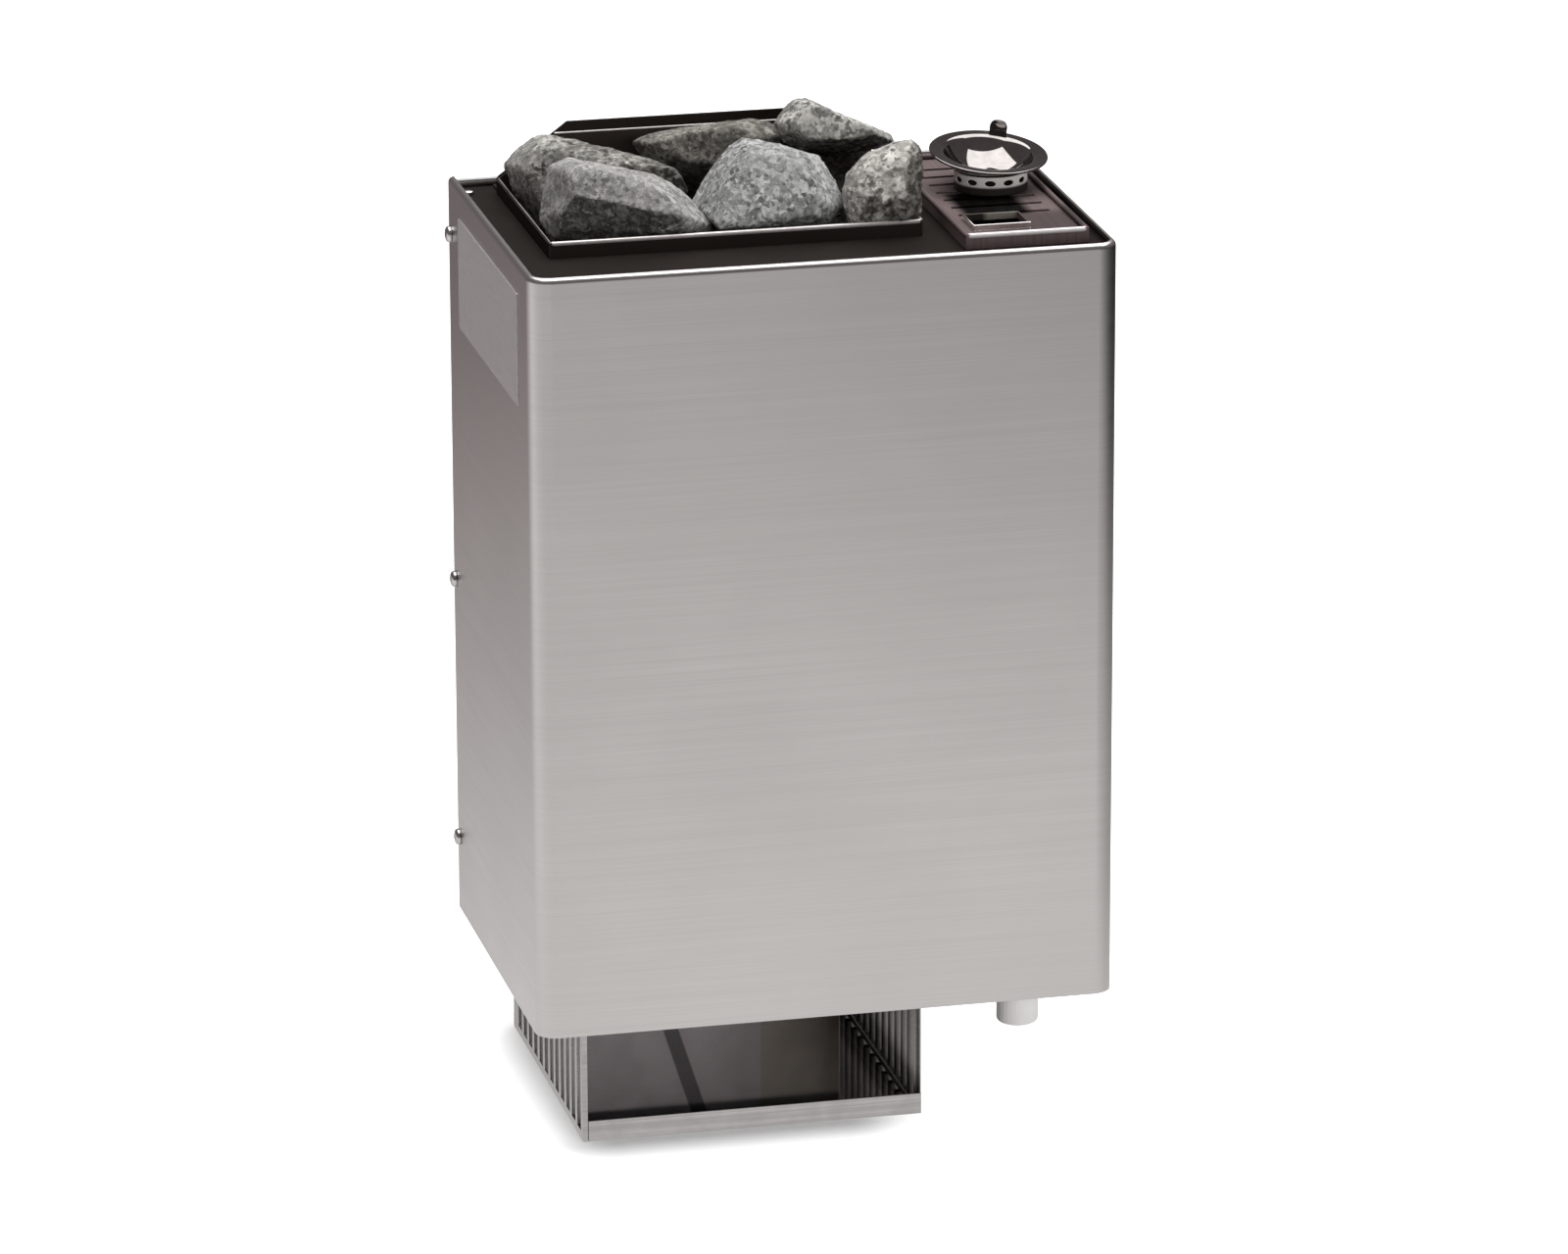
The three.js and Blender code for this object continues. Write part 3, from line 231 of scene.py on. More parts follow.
# stove paint and moulded plastic: fine orange-peel, rubbed patches, edges worn down to what lies below
def coated(name, colour, rubbed, gloss, below, wear=0.0, peel=0.06, shine=0.5):
    material, tree, shader, place = startMaterial(name)
    marks = fillGroup(tree, smudgeGroup, {"Vector": place, "Size": 14, "Low": 0.4, "High": 0.8})
    edge = fillGroup(tree, wearGroup, {"Vector": place, "Amount": wear})
    mixed = mixColours(tree, marks.outputs["Mask"], (*colour, 1), (*rubbed, 1))
    tree.links.new(mixColours(tree, edge.outputs["Mask"], mixed, (*below, 1)), shader.inputs["Base Color"])
    tree.links.new(remap(tree, marks.outputs["Mask"], 0, 1, gloss[0], gloss[1]), shader.inputs["Roughness"])
    tree.links.new(edge.outputs["Mask"], shader.inputs["Metallic"])
    shader.inputs["Specular IOR Level"].default_value = shine
    addBump(tree, shader, marks.outputs["Fine"], peel, 0.0003)
    return material


# blackens part of a finish inside a soft-edged box; the uses below paint shade, shadows and a dark reflection
def blackened(material, centre, half, soft, amount, turn=0):
    tree = material.node_tree
    target = tree.nodes["Principled BSDF"].inputs["Base Color"]
    place = addNode(tree, "TexCoord").outputs["Object"]
    patch = fillGroup(tree, patchGroup, {
        "Vector": place, "Centre": Vector(centre) * mm, "Half": Vector(half) * mm, "Soft": soft * mm,
        "Turn": math.radians(turn)})
    share = remap(tree, patch.outputs["Mask"], 0, 1, 0, amount)
    tree.links.new(mixColours(tree, share, target.links[0].from_socket, (0, 0, 0, 1)), target)
    return material


# a broken stone: granite with painted shade on the faces that look towards one given side
def granite(name, pale, dark, stain, pepper, paintedShade):
    material, tree, shader, place = startMaterial(name)
    grain = fillGroup(tree, graniteGroup, {
        "Vector": place, "Pale": (*pale, 1), "Dark": (*dark, 1), "Stain": stain, "Pepper": pepper})
    normal = addNode(tree, "NewGeometry").outputs["Normal"]
    # painted shade: faces leaning towards the given side are darkened to a dark brown, with a ragged border
    facing = addNode(tree, "VectorMath", {0: normal, 1: paintedShade["side"]}, operation="DOT_PRODUCT").outputs["Value"]
    ragged = addNode(tree, "TexNoise", {"Vector": place, "Scale": 150, "Detail": 4, "Roughness": 0.65})
    drift = remap(tree, ragged.outputs[0], 0.3, 0.7, -0.14, 0.14)
    edge = addNode(tree, "Math", {0: facing, 1: drift}, operation="ADD")
    under = remap(tree, edge.outputs[0], *paintedShade["turn"], 0, paintedShade["amount"])
    thin = remap(tree, ragged.outputs[0], 0.44, 0.6, 1, 0.62)
    shadeShare = addNode(tree, "Math", {0: under, 1: thin}, operation="MULTIPLY")
    shadedColour = mixColours(tree, shadeShare.outputs[0], grain.outputs["Colour"], (0.07, 0.064, 0.052, 1), "MULTIPLY")
    tree.links.new(shadedColour, shader.inputs["Base Color"])
    shader.inputs["Roughness"].default_value = 0.88
    shader.inputs["Specular IOR Level"].default_value = 0.25
    addBump(tree, shader, grain.outputs["Relief"], 0.95, 0.002)
    return material


finish = {
    "brushed_casing": sheetMetal("brushedCasing", (0.556, 0.545, 0.533), (0.615, 0.603, 0.59), (0.27, 0.31),
                                 lineDepth=0.025),
    "galvanised_sheet": sheetMetal("galvanisedSheet", (0.58, 0.585, 0.58), (0.72, 0.725, 0.72), (0.36, 0.5),
                                   (60, 60, 60), (70, 0.42, 0.6), metallic=0.1),
    "black_sheet": coated("blackStovePaint", (0.021, 0.0172, 0.0147), (0.028, 0.023, 0.02), (0.5, 0.6),
                          (0.3, 0.28, 0.26), 0.7, shine=0.025),
    "dark_sheet": sheetMetal("heatTintedSteel", (0.165, 0.129, 0.127), (0.217, 0.171, 0.167), (0.34, 0.42),
                             (900, 8, 8), metallic=0.15, shine=0.01),
    "polished_sheet": sheetMetal("polishedSteel", (0.25, 0.235, 0.225), (0.32, 0.3, 0.29), (0.03, 0.06),
                                 (200, 200, 200), lineDepth=0.01),
    "screw_steel": sheetMetal("screwSteel", (0.5, 0.49, 0.48), (0.68, 0.67, 0.66), (0.14, 0.22), (400, 400, 400)),
    "element_tube": sheetMetal("firedTube", (0.06, 0.05, 0.045), (0.13, 0.115, 0.105), (0.45, 0.6), (300, 300, 300)),
    # the low stones get a near-black granite, painted shade for stones that lie in the container's shade
    "stove_stone": granite("shadedLowGranite", (0.16, 0.15, 0.135), (0.02, 0.018, 0.015), 0.8, 0.7,
                           {"side": (0, 0, -1), "turn": (0.1, 0.5), "amount": 0.8}),
    "cap_plastic": coated("whitePlastic", (0.87, 0.86, 0.85), (0.8, 0.79, 0.78), (0.36, 0.46), (0.9, 0.89, 0.88)),
    "gland_plastic": coated("greyPlastic", (0.075, 0.077, 0.082), (0.1, 0.1, 0.105), (0.4, 0.52), (0.14, 0.14, 0.15)),
    "seal_rubber": coated("sealRubber", (0.012, 0.012, 0.012), (0.02, 0.02, 0.02), (0.7, 0.8), (0.03, 0.03, 0.03)),
    "ceramic": coated("firedCeramic", (0.74, 0.7, 0.6), (0.66, 0.62, 0.52), (0.35, 0.5), (0.6, 0.55, 0.45)),
}
paleGranite = granite("paleGranite", (0.75, 0.76, 0.75), (0.09, 0.094, 0.092), 0.25, 0.5,
                      {"side": (0, -0.5, -0.87), "turn": (0.85, 1.0), "amount": 0.7})
greyGranite = granite("greyGranite", (0.65, 0.64, 0.625), (0.15, 0.15, 0.142), 0.3, 0.35,
                      {"side": (-0.33, -0.84, -0.42), "turn": (0.84, 0.94), "amount": 0.9})
speckledGranite = granite("speckledGranite", (0.77, 0.76, 0.71), (0.07, 0.07, 0.062), 0.5, 0.6,
                          {"side": (0.2, -0.5, -0.84), "turn": (0.55, 0.85), "amount": 0.95})
mottledGranite = granite("mottledGranite", (0.95, 0.93, 0.87), (0.13, 0.126, 0.112), 0.6, 0.5,
                         {"side": (0.75, -0.5, -0.43), "turn": (0.15, 0.45), "amount": 0.96})
ashGranite = granite("ashGranite", (0.74, 0.73, 0.68), (0.09, 0.088, 0.08), 0.5, 0.4,
                     {"side": (0.85, -0.5, 0.1), "turn": (0.1, 0.45), "amount": 1.0})
brownGranite = granite("brownGranite", (0.47, 0.455, 0.41), (0.04, 0.037, 0.03), 0.7, 0.55,
                       {"side": (0.1, -0.85, -0.5), "turn": (0.45, 0.85), "amount": 0.7})
ductSteel = sheetMetal("ductSteel", (0.19, 0.183, 0.177), (0.245, 0.235, 0.229), (0.2, 0.28), (6, 6, 1500))
shadedSteel = sheetMetal("shadedSteel", (0.42, 0.4, 0.385), (0.52, 0.5, 0.48), (0.4, 0.5), (6, 6, 1500),
                         metallic=0.2, shine=0.02)
foldSteel = sheetMetal("foldSteel", (0.3, 0.286, 0.279), (0.39, 0.375, 0.36), (0.4, 0.5), (6, 6, 1500), metallic=0.2)
# the right wall's folds: a darker copy of the fold steel, painted shade for a wall in the duct's shade
shadedFoldSteel = sheetMetal("shadedFoldSteel", (0.24, 0.229, 0.219), (0.31, 0.298, 0.285), (0.3, 0.4), (6, 6, 1500), metallic=0.5,
                      shine=0.02)
blackened(shadedFoldSteel, (60, 90, 40), (10, 20, 60), 110, 0.3)  # painted shade: dimmer towards the rear
blackened(shadedFoldSteel, (60, 0, 8), (10, 120, 8), 14, 0.6)  # painted shade at the foot of the right wall
# the same painted shade on the right wall's inner face
blackened(shadedSteel, (60, 0, 8), (10, 120, 8), 14, 0.5)
lipSteel = sheetMetal("lipSteel", (0.35, 0.342, 0.338), (0.56, 0.55, 0.54), (0.3, 0.36), (6, 6, 1500), (70, 0.35, 0.65))
mirrorFloor = sheetMetal("ductFloorSheet", (0.68, 0.65, 0.65), (0.75, 0.73, 0.73), (0.03, 0.06), (6, 900, 6), lineDepth=0.006)
blackened(mirrorFloor, (-58.5, 9, 0), (4, 80, 10), 1.5, 0.78, 5.6)  # a painted dark streak along the floor sheet, standing in for a reflection
blackened(mirrorFloor, (60.5, 0, 0), (4.5, 110, 20), 4, 0.55)  # painted shade on the floor along the right wall
# painted shade: a near-black brown for the container's inner faces and the ends of the slit folds
paintedShadeSteel = coated("paintedShadeSteel", (0.03, 0.022, 0.019), (0.05, 0.038, 0.034), (0.3, 0.42), (0.3, 0.28, 0.26), 0.5, shine=0.3)
# bright steel, a painted highlight on the filling opening's front and left
rimSteel = sheetMetal("brightRim", (0.76, 0.73, 0.71), (0.88, 0.85, 0.83), (0.1, 0.16), (300, 300, 300))
# worn bare steel on the container's rim beads, made pale and matt as a painted highlight line
wornAndHighlightRim = sheetMetal("wornAndHighlightRim", (0.7, 0.66, 0.64), (0.86, 0.82, 0.8), (0.3, 0.4), (300, 300, 300), metallic=0.6)
# a near-white bead, a painted highlight along the cover's front edge
highlightRim = sheetMetal("highlightRim", (0.84, 0.81, 0.79), (0.94, 0.91, 0.89), (0.3, 0.4), (300, 300, 300), metallic=0.3)
sideRim = sheetMetal("sideRim", (0.4, 0.38, 0.37), (0.5, 0.48, 0.47), (0.35, 0.45), (300, 300, 300), metallic=0.4)
plateFoil = sheetMetal("bareFoil", (0.62, 0.6, 0.59), (0.7, 0.68, 0.67), (0.4, 0.48), (40, 40, 500), metallic=0.35)


# a material whose colour changes across a line; both uses below paint light and shade with it
def parted(name, axis, line, first, second, gloss, metallic, shine=0.5):
    material, tree, shader, place = startMaterial(name)
    marks = fillGroup(tree, smudgeGroup, {"Vector": place, "Size": 40, "Low": 0.4, "High": 0.7})
    along = addNode(tree, "SeparateXYZ", {0: place}).outputs[axis]
    colour = mixColours(tree, remap(tree, along, *line), (*first, 1), (*second, 1))
    mottled = mixColours(tree, remap(tree, marks.outputs["Mask"], 0, 1, 0, 0.12), colour, (0, 0, 0, 1))
    tree.links.new(mottled, shader.inputs["Base Color"])
    tree.links.new(remap(tree, marks.outputs["Fine"], 0.3, 0.7, *gloss), shader.inputs["Roughness"])
    shader.inputs["Metallic"].default_value = metallic
    shader.inputs["Specular IOR Level"].default_value = shine
    return material


# the rear wall's face towards the duct: painted light left of the line, and painted shade, darker and more olive, right
# of it
ductBack = parted("ductBack", "X", (0.0115, 0.0125), (0.84, 0.79, 0.81), (0.73, 0.675, 0.6), (0.5, 0.65), 0.1)
blackened(ductBack, (-40, 105, 84.8), (110, 2, 22), 1, 0.92)  # painted shade under the heating chamber
# the dish collar: painted shade, near-black, on its lower part under the dish, and a near-white painted reflection
# above
collarShadeAndSheen = parted("collarShadeAndSheen", "Z", (0.5438, 0.5452), (0.04, 0.037, 0.033), (0.97, 0.95, 0.9), (0.3, 0.4), 0.1, 0.2)
blackened(finish["dark_sheet"], (122, -24, 540), (16, 23, 20), 8, 0.98)  # painted shadow of the dish and its collar on the cover
print("materials ready:", len(bpy.data.materials))

slotOf = {part["node"]: part["material_slot"] for part in frame["record"]["subparts"]}
bodyOf = {node: body for body, nodes in frame["record"]["behaviour"]["bodies"].items() for node in nodes}


# turns a bmesh into a piece that stands for a node and rides on its body
def finishPiece(bm, name, materials, node, stands=True, smoothAngle=40):
    mesh = bpy.data.meshes.new(name)
    bm.to_mesh(mesh)
    bm.free()
    mesh.shade_smooth()
    mesh.set_sharp_from_angle(angle=math.radians(smoothAngle))
    for material in materials:
        mesh.materials.append(material)
    piece = bpy.data.objects.new(name, mesh)
    scene.collection.objects.link(piece)
    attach(piece, bodyOf[node])
    if stands:
        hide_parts(node)
    return piece


def bevelEdges(bm, edges, width, segments=2):
    return bmesh.ops.bevel(bm, geom=edges, offset=width * mm, offset_type="OFFSET", affect="EDGES",
                           segments=segments, profile=0.5, material=-1, clamp_overlap=False)


def sharpEdges(bm, angle=30):
    return [e for e in bm.edges if e.is_manifold and e.calc_face_angle(0) > math.radians(angle)]


# a merged copy of a node's solid, with its flat faces whole again
def mergedCopy(node):
    bm = bmesh.new()
    bm.from_mesh(frame["nodes"][node].data)
    bmesh.ops.remove_doubles(bm, verts=bm.verts, dist=1e-6)
    bmesh.ops.dissolve_limit(bm, angle_limit=math.radians(0.5), verts=bm.verts, edges=bm.edges)
    return bm


def evenShading(piece):
    even = piece.modifiers.new("evenShading", "WEIGHTED_NORMAL")
    even.keep_sharp = True
    return piece


def dressedCopy(node, materials, edge=0.25, segments=2):
    bm = mergedCopy(node)
    bevelEdges(bm, sharpEdges(bm), edge, segments)
    return evenShading(finishPiece(bm, node + "_dressed", materials, node, smoothAngle=50))


# outer casing: one bent sheet with rolled front corners and a folded top lip
casing = {"cornerRadius": 13, "cornerSegments": 16, "lip": 3.6, "foldRadius": 3.3, "foldSegments": 6, "sheet": 1.2}


def buildCasing():
    low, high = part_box("outer_casing")
    bm = bmesh.new()
    bmesh.ops.create_cube(bm, size=1)
    bmesh.ops.scale(bm, vec=high - low, verts=bm.verts)
    bmesh.ops.translate(bm, vec=(low + high) / 2, verts=bm.verts)
    openSides = [f for f in bm.faces if f.normal.y > 0.5 or f.normal.z < -0.5]
    bmesh.ops.delete(bm, geom=openSides, context="FACES")
    corners = [e for e in bm.edges if e.is_manifold and abs(e.verts[0].co.z - e.verts[1].co.z) > mm]
    bevelEdges(bm, corners, casing["cornerRadius"], casing["cornerSegments"])
    top = max(bm.faces, key=lambda f: f.calc_center_median().z)
    bmesh.ops.inset_region(bm, faces=[top], thickness=casing["lip"] * mm, use_boundary=False, use_even_offset=True)
    bmesh.ops.delete(bm, geom=[top], context="FACES")
    folds = [e for e in bm.edges if e.is_manifold and all(v.co.z > high.z - mm * 0.1 for v in e.verts)
             and e.calc_face_angle(0) > 1]
    bevelEdges(bm, folds, casing["foldRadius"], casing["foldSegments"])
    piece = finishPiece(bm, "casing_shell", [finish["brushed_casing"]], "outer_casing", smoothAngle=35)
    sheet = piece.modifiers.new("sheetThickness", "SOLIDIFY")
    sheet.thickness = casing["sheet"] * mm
    sheet.offset = -1
    sheet.use_even_offset = True
    return evenShading(piece)


buildCasing()
print("casing bent")

# sheet pieces that keep their solid's shape, with softened edges
sheets = {
    "rear_panel": 0.35, "top_plate": 0.35, "rear_guard": 0.4, "bottom_plate": 0.3,
    "hanging_rail": 0.4, "spacer_rail": 0.4, "evaporator_tank": 0.25, "dish_collar": 0.25,
    "drain_pipe": 0.3, "cable_gland": 0.5, "gland_nut": 0.4,
}
ownLook = {"dish_collar": collarShadeAndSheen}
for node, edge in sheets.items():
    dressedCopy(node, [ownLook.get(node, finish[slotOf[node]])], edge)
# finish all over, of the faces to the front and below, and of the edges to the sides
fronted = {"duct_floor": (mirrorFloor, lipSteel, shadedSteel), "duct_left_wall": (ductSteel, lipSteel, ductSteel),
           "duct_rear_wall": (finish["galvanised_sheet"], ductBack, ductSteel)}
for node, looks in fronted.items():
    piece = dressedCopy(node, looks, 0.22)
    for face in piece.data.polygons:
        outside = face.normal.y < -0.3 or face.normal.z < -0.3
        face.material_index = 1 if outside else 2 if abs(face.normal.x) > 0.3 else 0
rightWall = dressedCopy("duct_right_wall", [shadedSteel, ductSteel], 0.22)
for face in rightWall.data.polygons:
    face.material_index = 1 if face.normal.x > 0.3 else 0

# the long edges of the air slits are folded inwards
slitFold = {"depth": 2.7, "sheet": 0.8, "edge": 0.15}


def buildSlitFolds(node, inward, look):
    low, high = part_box(node)
    inner = (low.x if inward > 0 else high.x) + inward * slitFold["sheet"] * mm
    wall = mergedCopy(node)
    folds = bmesh.new()
    for face in wall.faces:
        middle = face.calc_center_median()
        across = max(v.co.x for v in face.verts) - min(v.co.x for v in face.verts)
        inWall = low.y + 2 * mm < middle.y < high.y - 2 * mm and across < mm
        if abs(face.normal.y) > 0.9 and inWall:
            height = max(v.co.z for v in face.verts) - min(v.co.z for v in face.verts)
            flap = bmesh.ops.create_cube(folds, size=1)["verts"]
            bmesh.ops.scale(folds, vec=(slitFold["depth"] * mm, slitFold["sheet"] * mm, height), verts=flap)
            shift = Vector((inner + inward * slitFold["depth"] / 2 * mm,
                            middle.y - face.normal.y * slitFold["sheet"] / 2 * mm, middle.z))
            bmesh.ops.translate(folds, vec=shift, verts=flap)
    wall.free()
    bevelEdges(folds, folds.edges[:], slitFold["edge"])
    piece = finishPiece(folds, node + "_folds", [look, paintedShadeSteel], node, stands=False)
    # the folds' upper and lower faces take the painted shade
    for face in piece.data.polygons:
        face.material_index = 1 if abs(face.normal.z) > 0.3 else 0
    return piece


buildSlitFolds("duct_left_wall", 1, foldSteel)
buildSlitFolds("duct_right_wall", -1, shadedFoldSteel)
container = dressedCopy("stone_container", [finish["black_sheet"], paintedShadeSteel], 0.3)
low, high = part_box("stone_container")
# faces that look into the container take the painted shade
for face in container.data.polygons:
    inward = (face.center - (low + high) / 2).xy.dot(face.normal.xy) < 0
    face.material_index = 1 if inward else 0

# steam cover: the filling opening's rim takes bright steel in front and on its left, a painted highlight
cover = {"edge": 0.2, "rimLeft": 9.5, "rimFront": 18, "rimWidth": 34, "rimDepth": 28}
fillSteel = sheetMetal("fillSteel", (0.34, 0.325, 0.28), (0.44, 0.42, 0.36), (0.3, 0.4), (300, 300, 300), metallic=0.3)
coverPiece = dressedCopy("steam_cover", [finish["dark_sheet"], rimSteel, fillSteel], cover["edge"])
coverLow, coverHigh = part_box("steam_cover")
fillCorner = Vector((coverLow.x + cover["rimLeft"] * mm, coverLow.y + cover["rimFront"] * mm, coverHigh.z))
# painted shade in the rear inside of the filling opening
blackened(fillSteel, fillCorner / mm + Vector((5, cover["rimDepth"], 0)), (6, 5, 20), 5, 0.9)
# painted shade on the cover's right front part
blackened(finish["dark_sheet"], (150, coverLow.y / mm + 30, 540), (28, 14, 20), 18, 0.45)
for face in coverPiece.data.polygons:
    nearFront = abs(face.center.y - fillCorner.y) < mm and face.normal.y < -0.3
    nearLeft = abs(face.center.x - fillCorner.x) < mm and face.normal.x < -0.3
    inFrame = abs(face.center.x - fillCorner.x - cover["rimWidth"] / 2 * mm) < cover["rimWidth"] / 2 * mm
    nearRear = abs(face.center.y - fillCorner.y - cover["rimDepth"] * mm) < 2 * mm and face.normal.y < -0.3
    face.material_index = 1 if nearFront or nearLeft else 2 if nearRear and inFrame else 0
print("sheets dressed")

# stones: the solid's facets, chipped, then dented and roughened
stone = {"voxel": 1.2, "hiddenVoxel": 2.4, "rounding": 1, "chips": 14, "chipLeast": 0.5, "chipMost": 2.6, "proud": 0.6,
         "swell": 0.6, "dents": 2.2, "lumps": 0.5, "grit": 0.4, "most": 1.3}
stoneLooks = {"stone_front_left": greyGranite, "stone_front_middle": paleGranite, "stone_front_right": mottledGranite,
              "stone_rear_left": ashGranite, "stone_rear_middle": brownGranite, "stone_rear_right": speckledGranite}
# overhangs: a point on the broken edge and the direction that the broken face looks, in millimetres
stoneBreaks = {"stone_front_left": ((-132, -45, 566), (-0.33, -0.84, -0.42))}
# corners that the solid's facets cut short, in millimetres
stoneCorners = {
    "stone_front_middle": ((-48, -58.5, 545), (-33, -58.5, 545), (-9.6, -57, 548), (16.5, -52.5, 550)),
    "stone_low_rear_right": ((69, 52, 562), (70, 74, 560), (68, 90, 557)),
}


def breakStone(bm, point, direction):
    geom = bm.verts[:] + bm.edges[:] + bm.faces[:]
    bmesh.ops.bisect_plane(bm, geom=geom, dist=1e-6, plane_co=point, plane_no=direction, clear_outer=True)
    bmesh.ops.holes_fill(bm, edges=[e for e in bm.edges if e.is_boundary], sides=0)
    bmesh.ops.recalc_face_normals(bm, faces=bm.faces)


def growStone(bm, corners):
    spots = [v.co.copy() for v in bm.verts] + [Vector(corner) * mm for corner in corners]
    bm.clear()
    hull = bmesh.ops.convex_hull(bm, input=[bm.verts.new(spot) for spot in spots])
    inner = [v for v in hull["geom_interior"] if isinstance(v, bmesh.types.BMVert)]
    bmesh.ops.delete(bm, geom=inner, context="VERTS")
    bmesh.ops.recalc_face_normals(bm, faces=bm.faces)


def chipStone(bm, seed):
    dice = random.Random(seed)
    for _ in range(stone["chips"]):
        direction = Vector([dice.gauss(0, 1) for _ in range(3)]).normalized()
        reach = max(v.co.dot(direction) for v in bm.verts)
        depth = dice.uniform(stone["chipLeast"], stone["chipMost"])
        breakStone(bm, direction * (reach - depth * mm), direction)


def denseMesh(bm, name, voxel):
    mesh = bpy.data.meshes.new(name)
    bm.to_mesh(mesh)
    bm.free()
    rough = bpy.data.objects.new(name, mesh)
    scene.collection.objects.link(rough)
    grid = rough.modifiers.new("grid", "REMESH")
    grid.mode = "VOXEL"
    grid.voxel_size = voxel * mm
    dense = bpy.data.meshes.new_from_object(rough.evaluated_get(bpy.context.evaluated_depsgraph_get()))
    bpy.data.objects.remove(rough)
    return dense


def buildStone(node, seed):
    bm = mergedCopy(node)
    if node in stoneCorners:
        growStone(bm, stoneCorners[node])
    chipStone(bm, seed)
    if node in stoneBreaks:
        point, direction = stoneBreaks[node]
        breakStone(bm, Vector(point) * mm, Vector(direction))
    dense = denseMesh(bm, node, stone["voxel"] if node in stoneLooks else stone["hiddenVoxel"])
    bm = bmesh.new()
    bm.from_mesh(dense)
    for _ in range(stone["rounding"]):
        bmesh.ops.smooth_vert(bm, verts=bm.verts, factor=0.5, use_axis_x=True, use_axis_y=True, use_axis_z=True)
    bm.normal_update()
    shifts = []
    for v in bm.verts:
        wide = noise.noise(v.co * 42) * stone["swell"]
        lump = noise.noise(v.co * 140 + Vector((2, 5, 9))) * stone["lumps"]
        dent = max(0, noise.noise(v.co * 90 + Vector((7, 3, 1))) - 0.25) * stone["dents"]
        grit = noise.fractal(v.co * 380, 0.8, 2.0, 3) * stone["grit"]
        push = stone["proud"] + wide + lump - dent + grit
        shifts.append(v.normal * min(push, stone["most"]) * mm)
    for v, shift in zip(bm.verts, shifts):
        v.co += shift
    look = stoneLooks.get(node, finish["stove_stone"])
    return finishPiece(bm, node + "_rock", [look], node, smoothAngle=80)


for seed, node in enumerate(sorted(n for n in frame["nodes"] if slotOf[n] == "stove_stone")):
    buildStone(node, seed)
print("stones laid")


# turned pieces: a profile of radius and height, spun round an upright axis
def spunPiece(profile, centre, steps):
    bm = bmesh.new()
    points = [bm.verts.new((centre.x + r * mm, centre.y, centre.z + z * mm)) for r, z in profile]
    edges = [bm.edges.new(pair) for pair in zip(points, points[1:])]
    bmesh.ops.spin(bm, geom=points + edges, cent=centre, axis=(0, 0, 1), dvec=(0, 0, 0), angle=math.tau,
                   steps=steps, use_merge=True, use_duplicate=False)
    bmesh.ops.remove_doubles(bm, verts=bm.verts, dist=1e-6)
    bmesh.ops.recalc_face_normals(bm, faces=bm.faces)
    return bm


def arc(centreR, centreZ, radius, start, end, count):
    angles = [math.radians(start + (end - start) * i / count) for i in range(count + 1)]
    return [(centreR + radius * math.cos(a), centreZ + radius * math.sin(a)) for a in angles]


# aroma dish: a round polished bowl with a flared, rolled rim and a grip tab, lying askew in its collar
dish = {"curve": 33, "seat": 20.7, "floor": 11, "sheet": 1.2, "rim": 35.5, "rimTop": -15.7, "roll": 0.8, "flare": 0.4,
        "tilt": 7.5, "lean": 3, "steps": 128, "gripAngle": 66, "gripWidth": 10.5, "gripRise": 8, "gripRoot": 1.5, "gripSheet": 1.6,
        "gripRound": 4.5}


def dishProfile():
    curve, sheet, roll = dish["curve"], dish["sheet"], dish["roll"]
    floorZ = -math.sqrt(curve ** 2 - dish["floor"] ** 2)
    innerRim = dish["rimTop"] - dish["flare"]
    outerEnd = math.degrees(math.asin((innerRim - sheet) / curve))
    innerEnd = math.degrees(math.asin((innerRim - sheet / 2) / (curve - sheet)))
    innerFloor = math.degrees(math.asin((floorZ + sheet) / (curve - sheet)))
    outside = arc(0, 0, curve, math.degrees(math.asin(floorZ / curve)), outerEnd, 14)
    edge = arc(dish["rim"] - roll, dish["rimTop"] - roll, roll, -90, 110, 12)
    shoulder = math.sqrt((curve - sheet) ** 2 - innerRim ** 2)
    inside = arc(0, 0, curve - sheet, innerEnd, innerFloor, 14)
    return [(0, floorZ), *outside, *edge, (shoulder + 2, innerRim + 0.15), (shoulder + 0.8, innerRim - 0.1), *inside,
            (0, floorZ + sheet)]


def buildGrip():
    height = dish["gripRise"] + dish["gripRoot"]
    tab = bmesh.new()
    bmesh.ops.create_cube(tab, size=1)
    bmesh.ops.scale(tab, vec=Vector((dish["gripSheet"], dish["gripWidth"], height)) * mm, verts=tab.verts)
    topCorners = [e for e in tab.edges if abs(e.verts[0].co.x - e.verts[1].co.x) > mm and e.verts[0].co.z > 0]
    bevelEdges(tab, topCorners, dish["gripRound"], 8)
    bevelEdges(tab, sharpEdges(tab, 50), 0.35, 2)
    lift = Vector((dish["rim"] - dish["gripSheet"], 0, dish["rimTop"] + dish["gripRise"] - height / 2)) * mm
    bmesh.ops.translate(tab, vec=lift, verts=tab.verts)
    turn = Matrix.Rotation(math.radians(dish["gripAngle"]), 3, "Z")
    bmesh.ops.rotate(tab, cent=(0, 0, 0), matrix=turn, verts=tab.verts)
    return tab


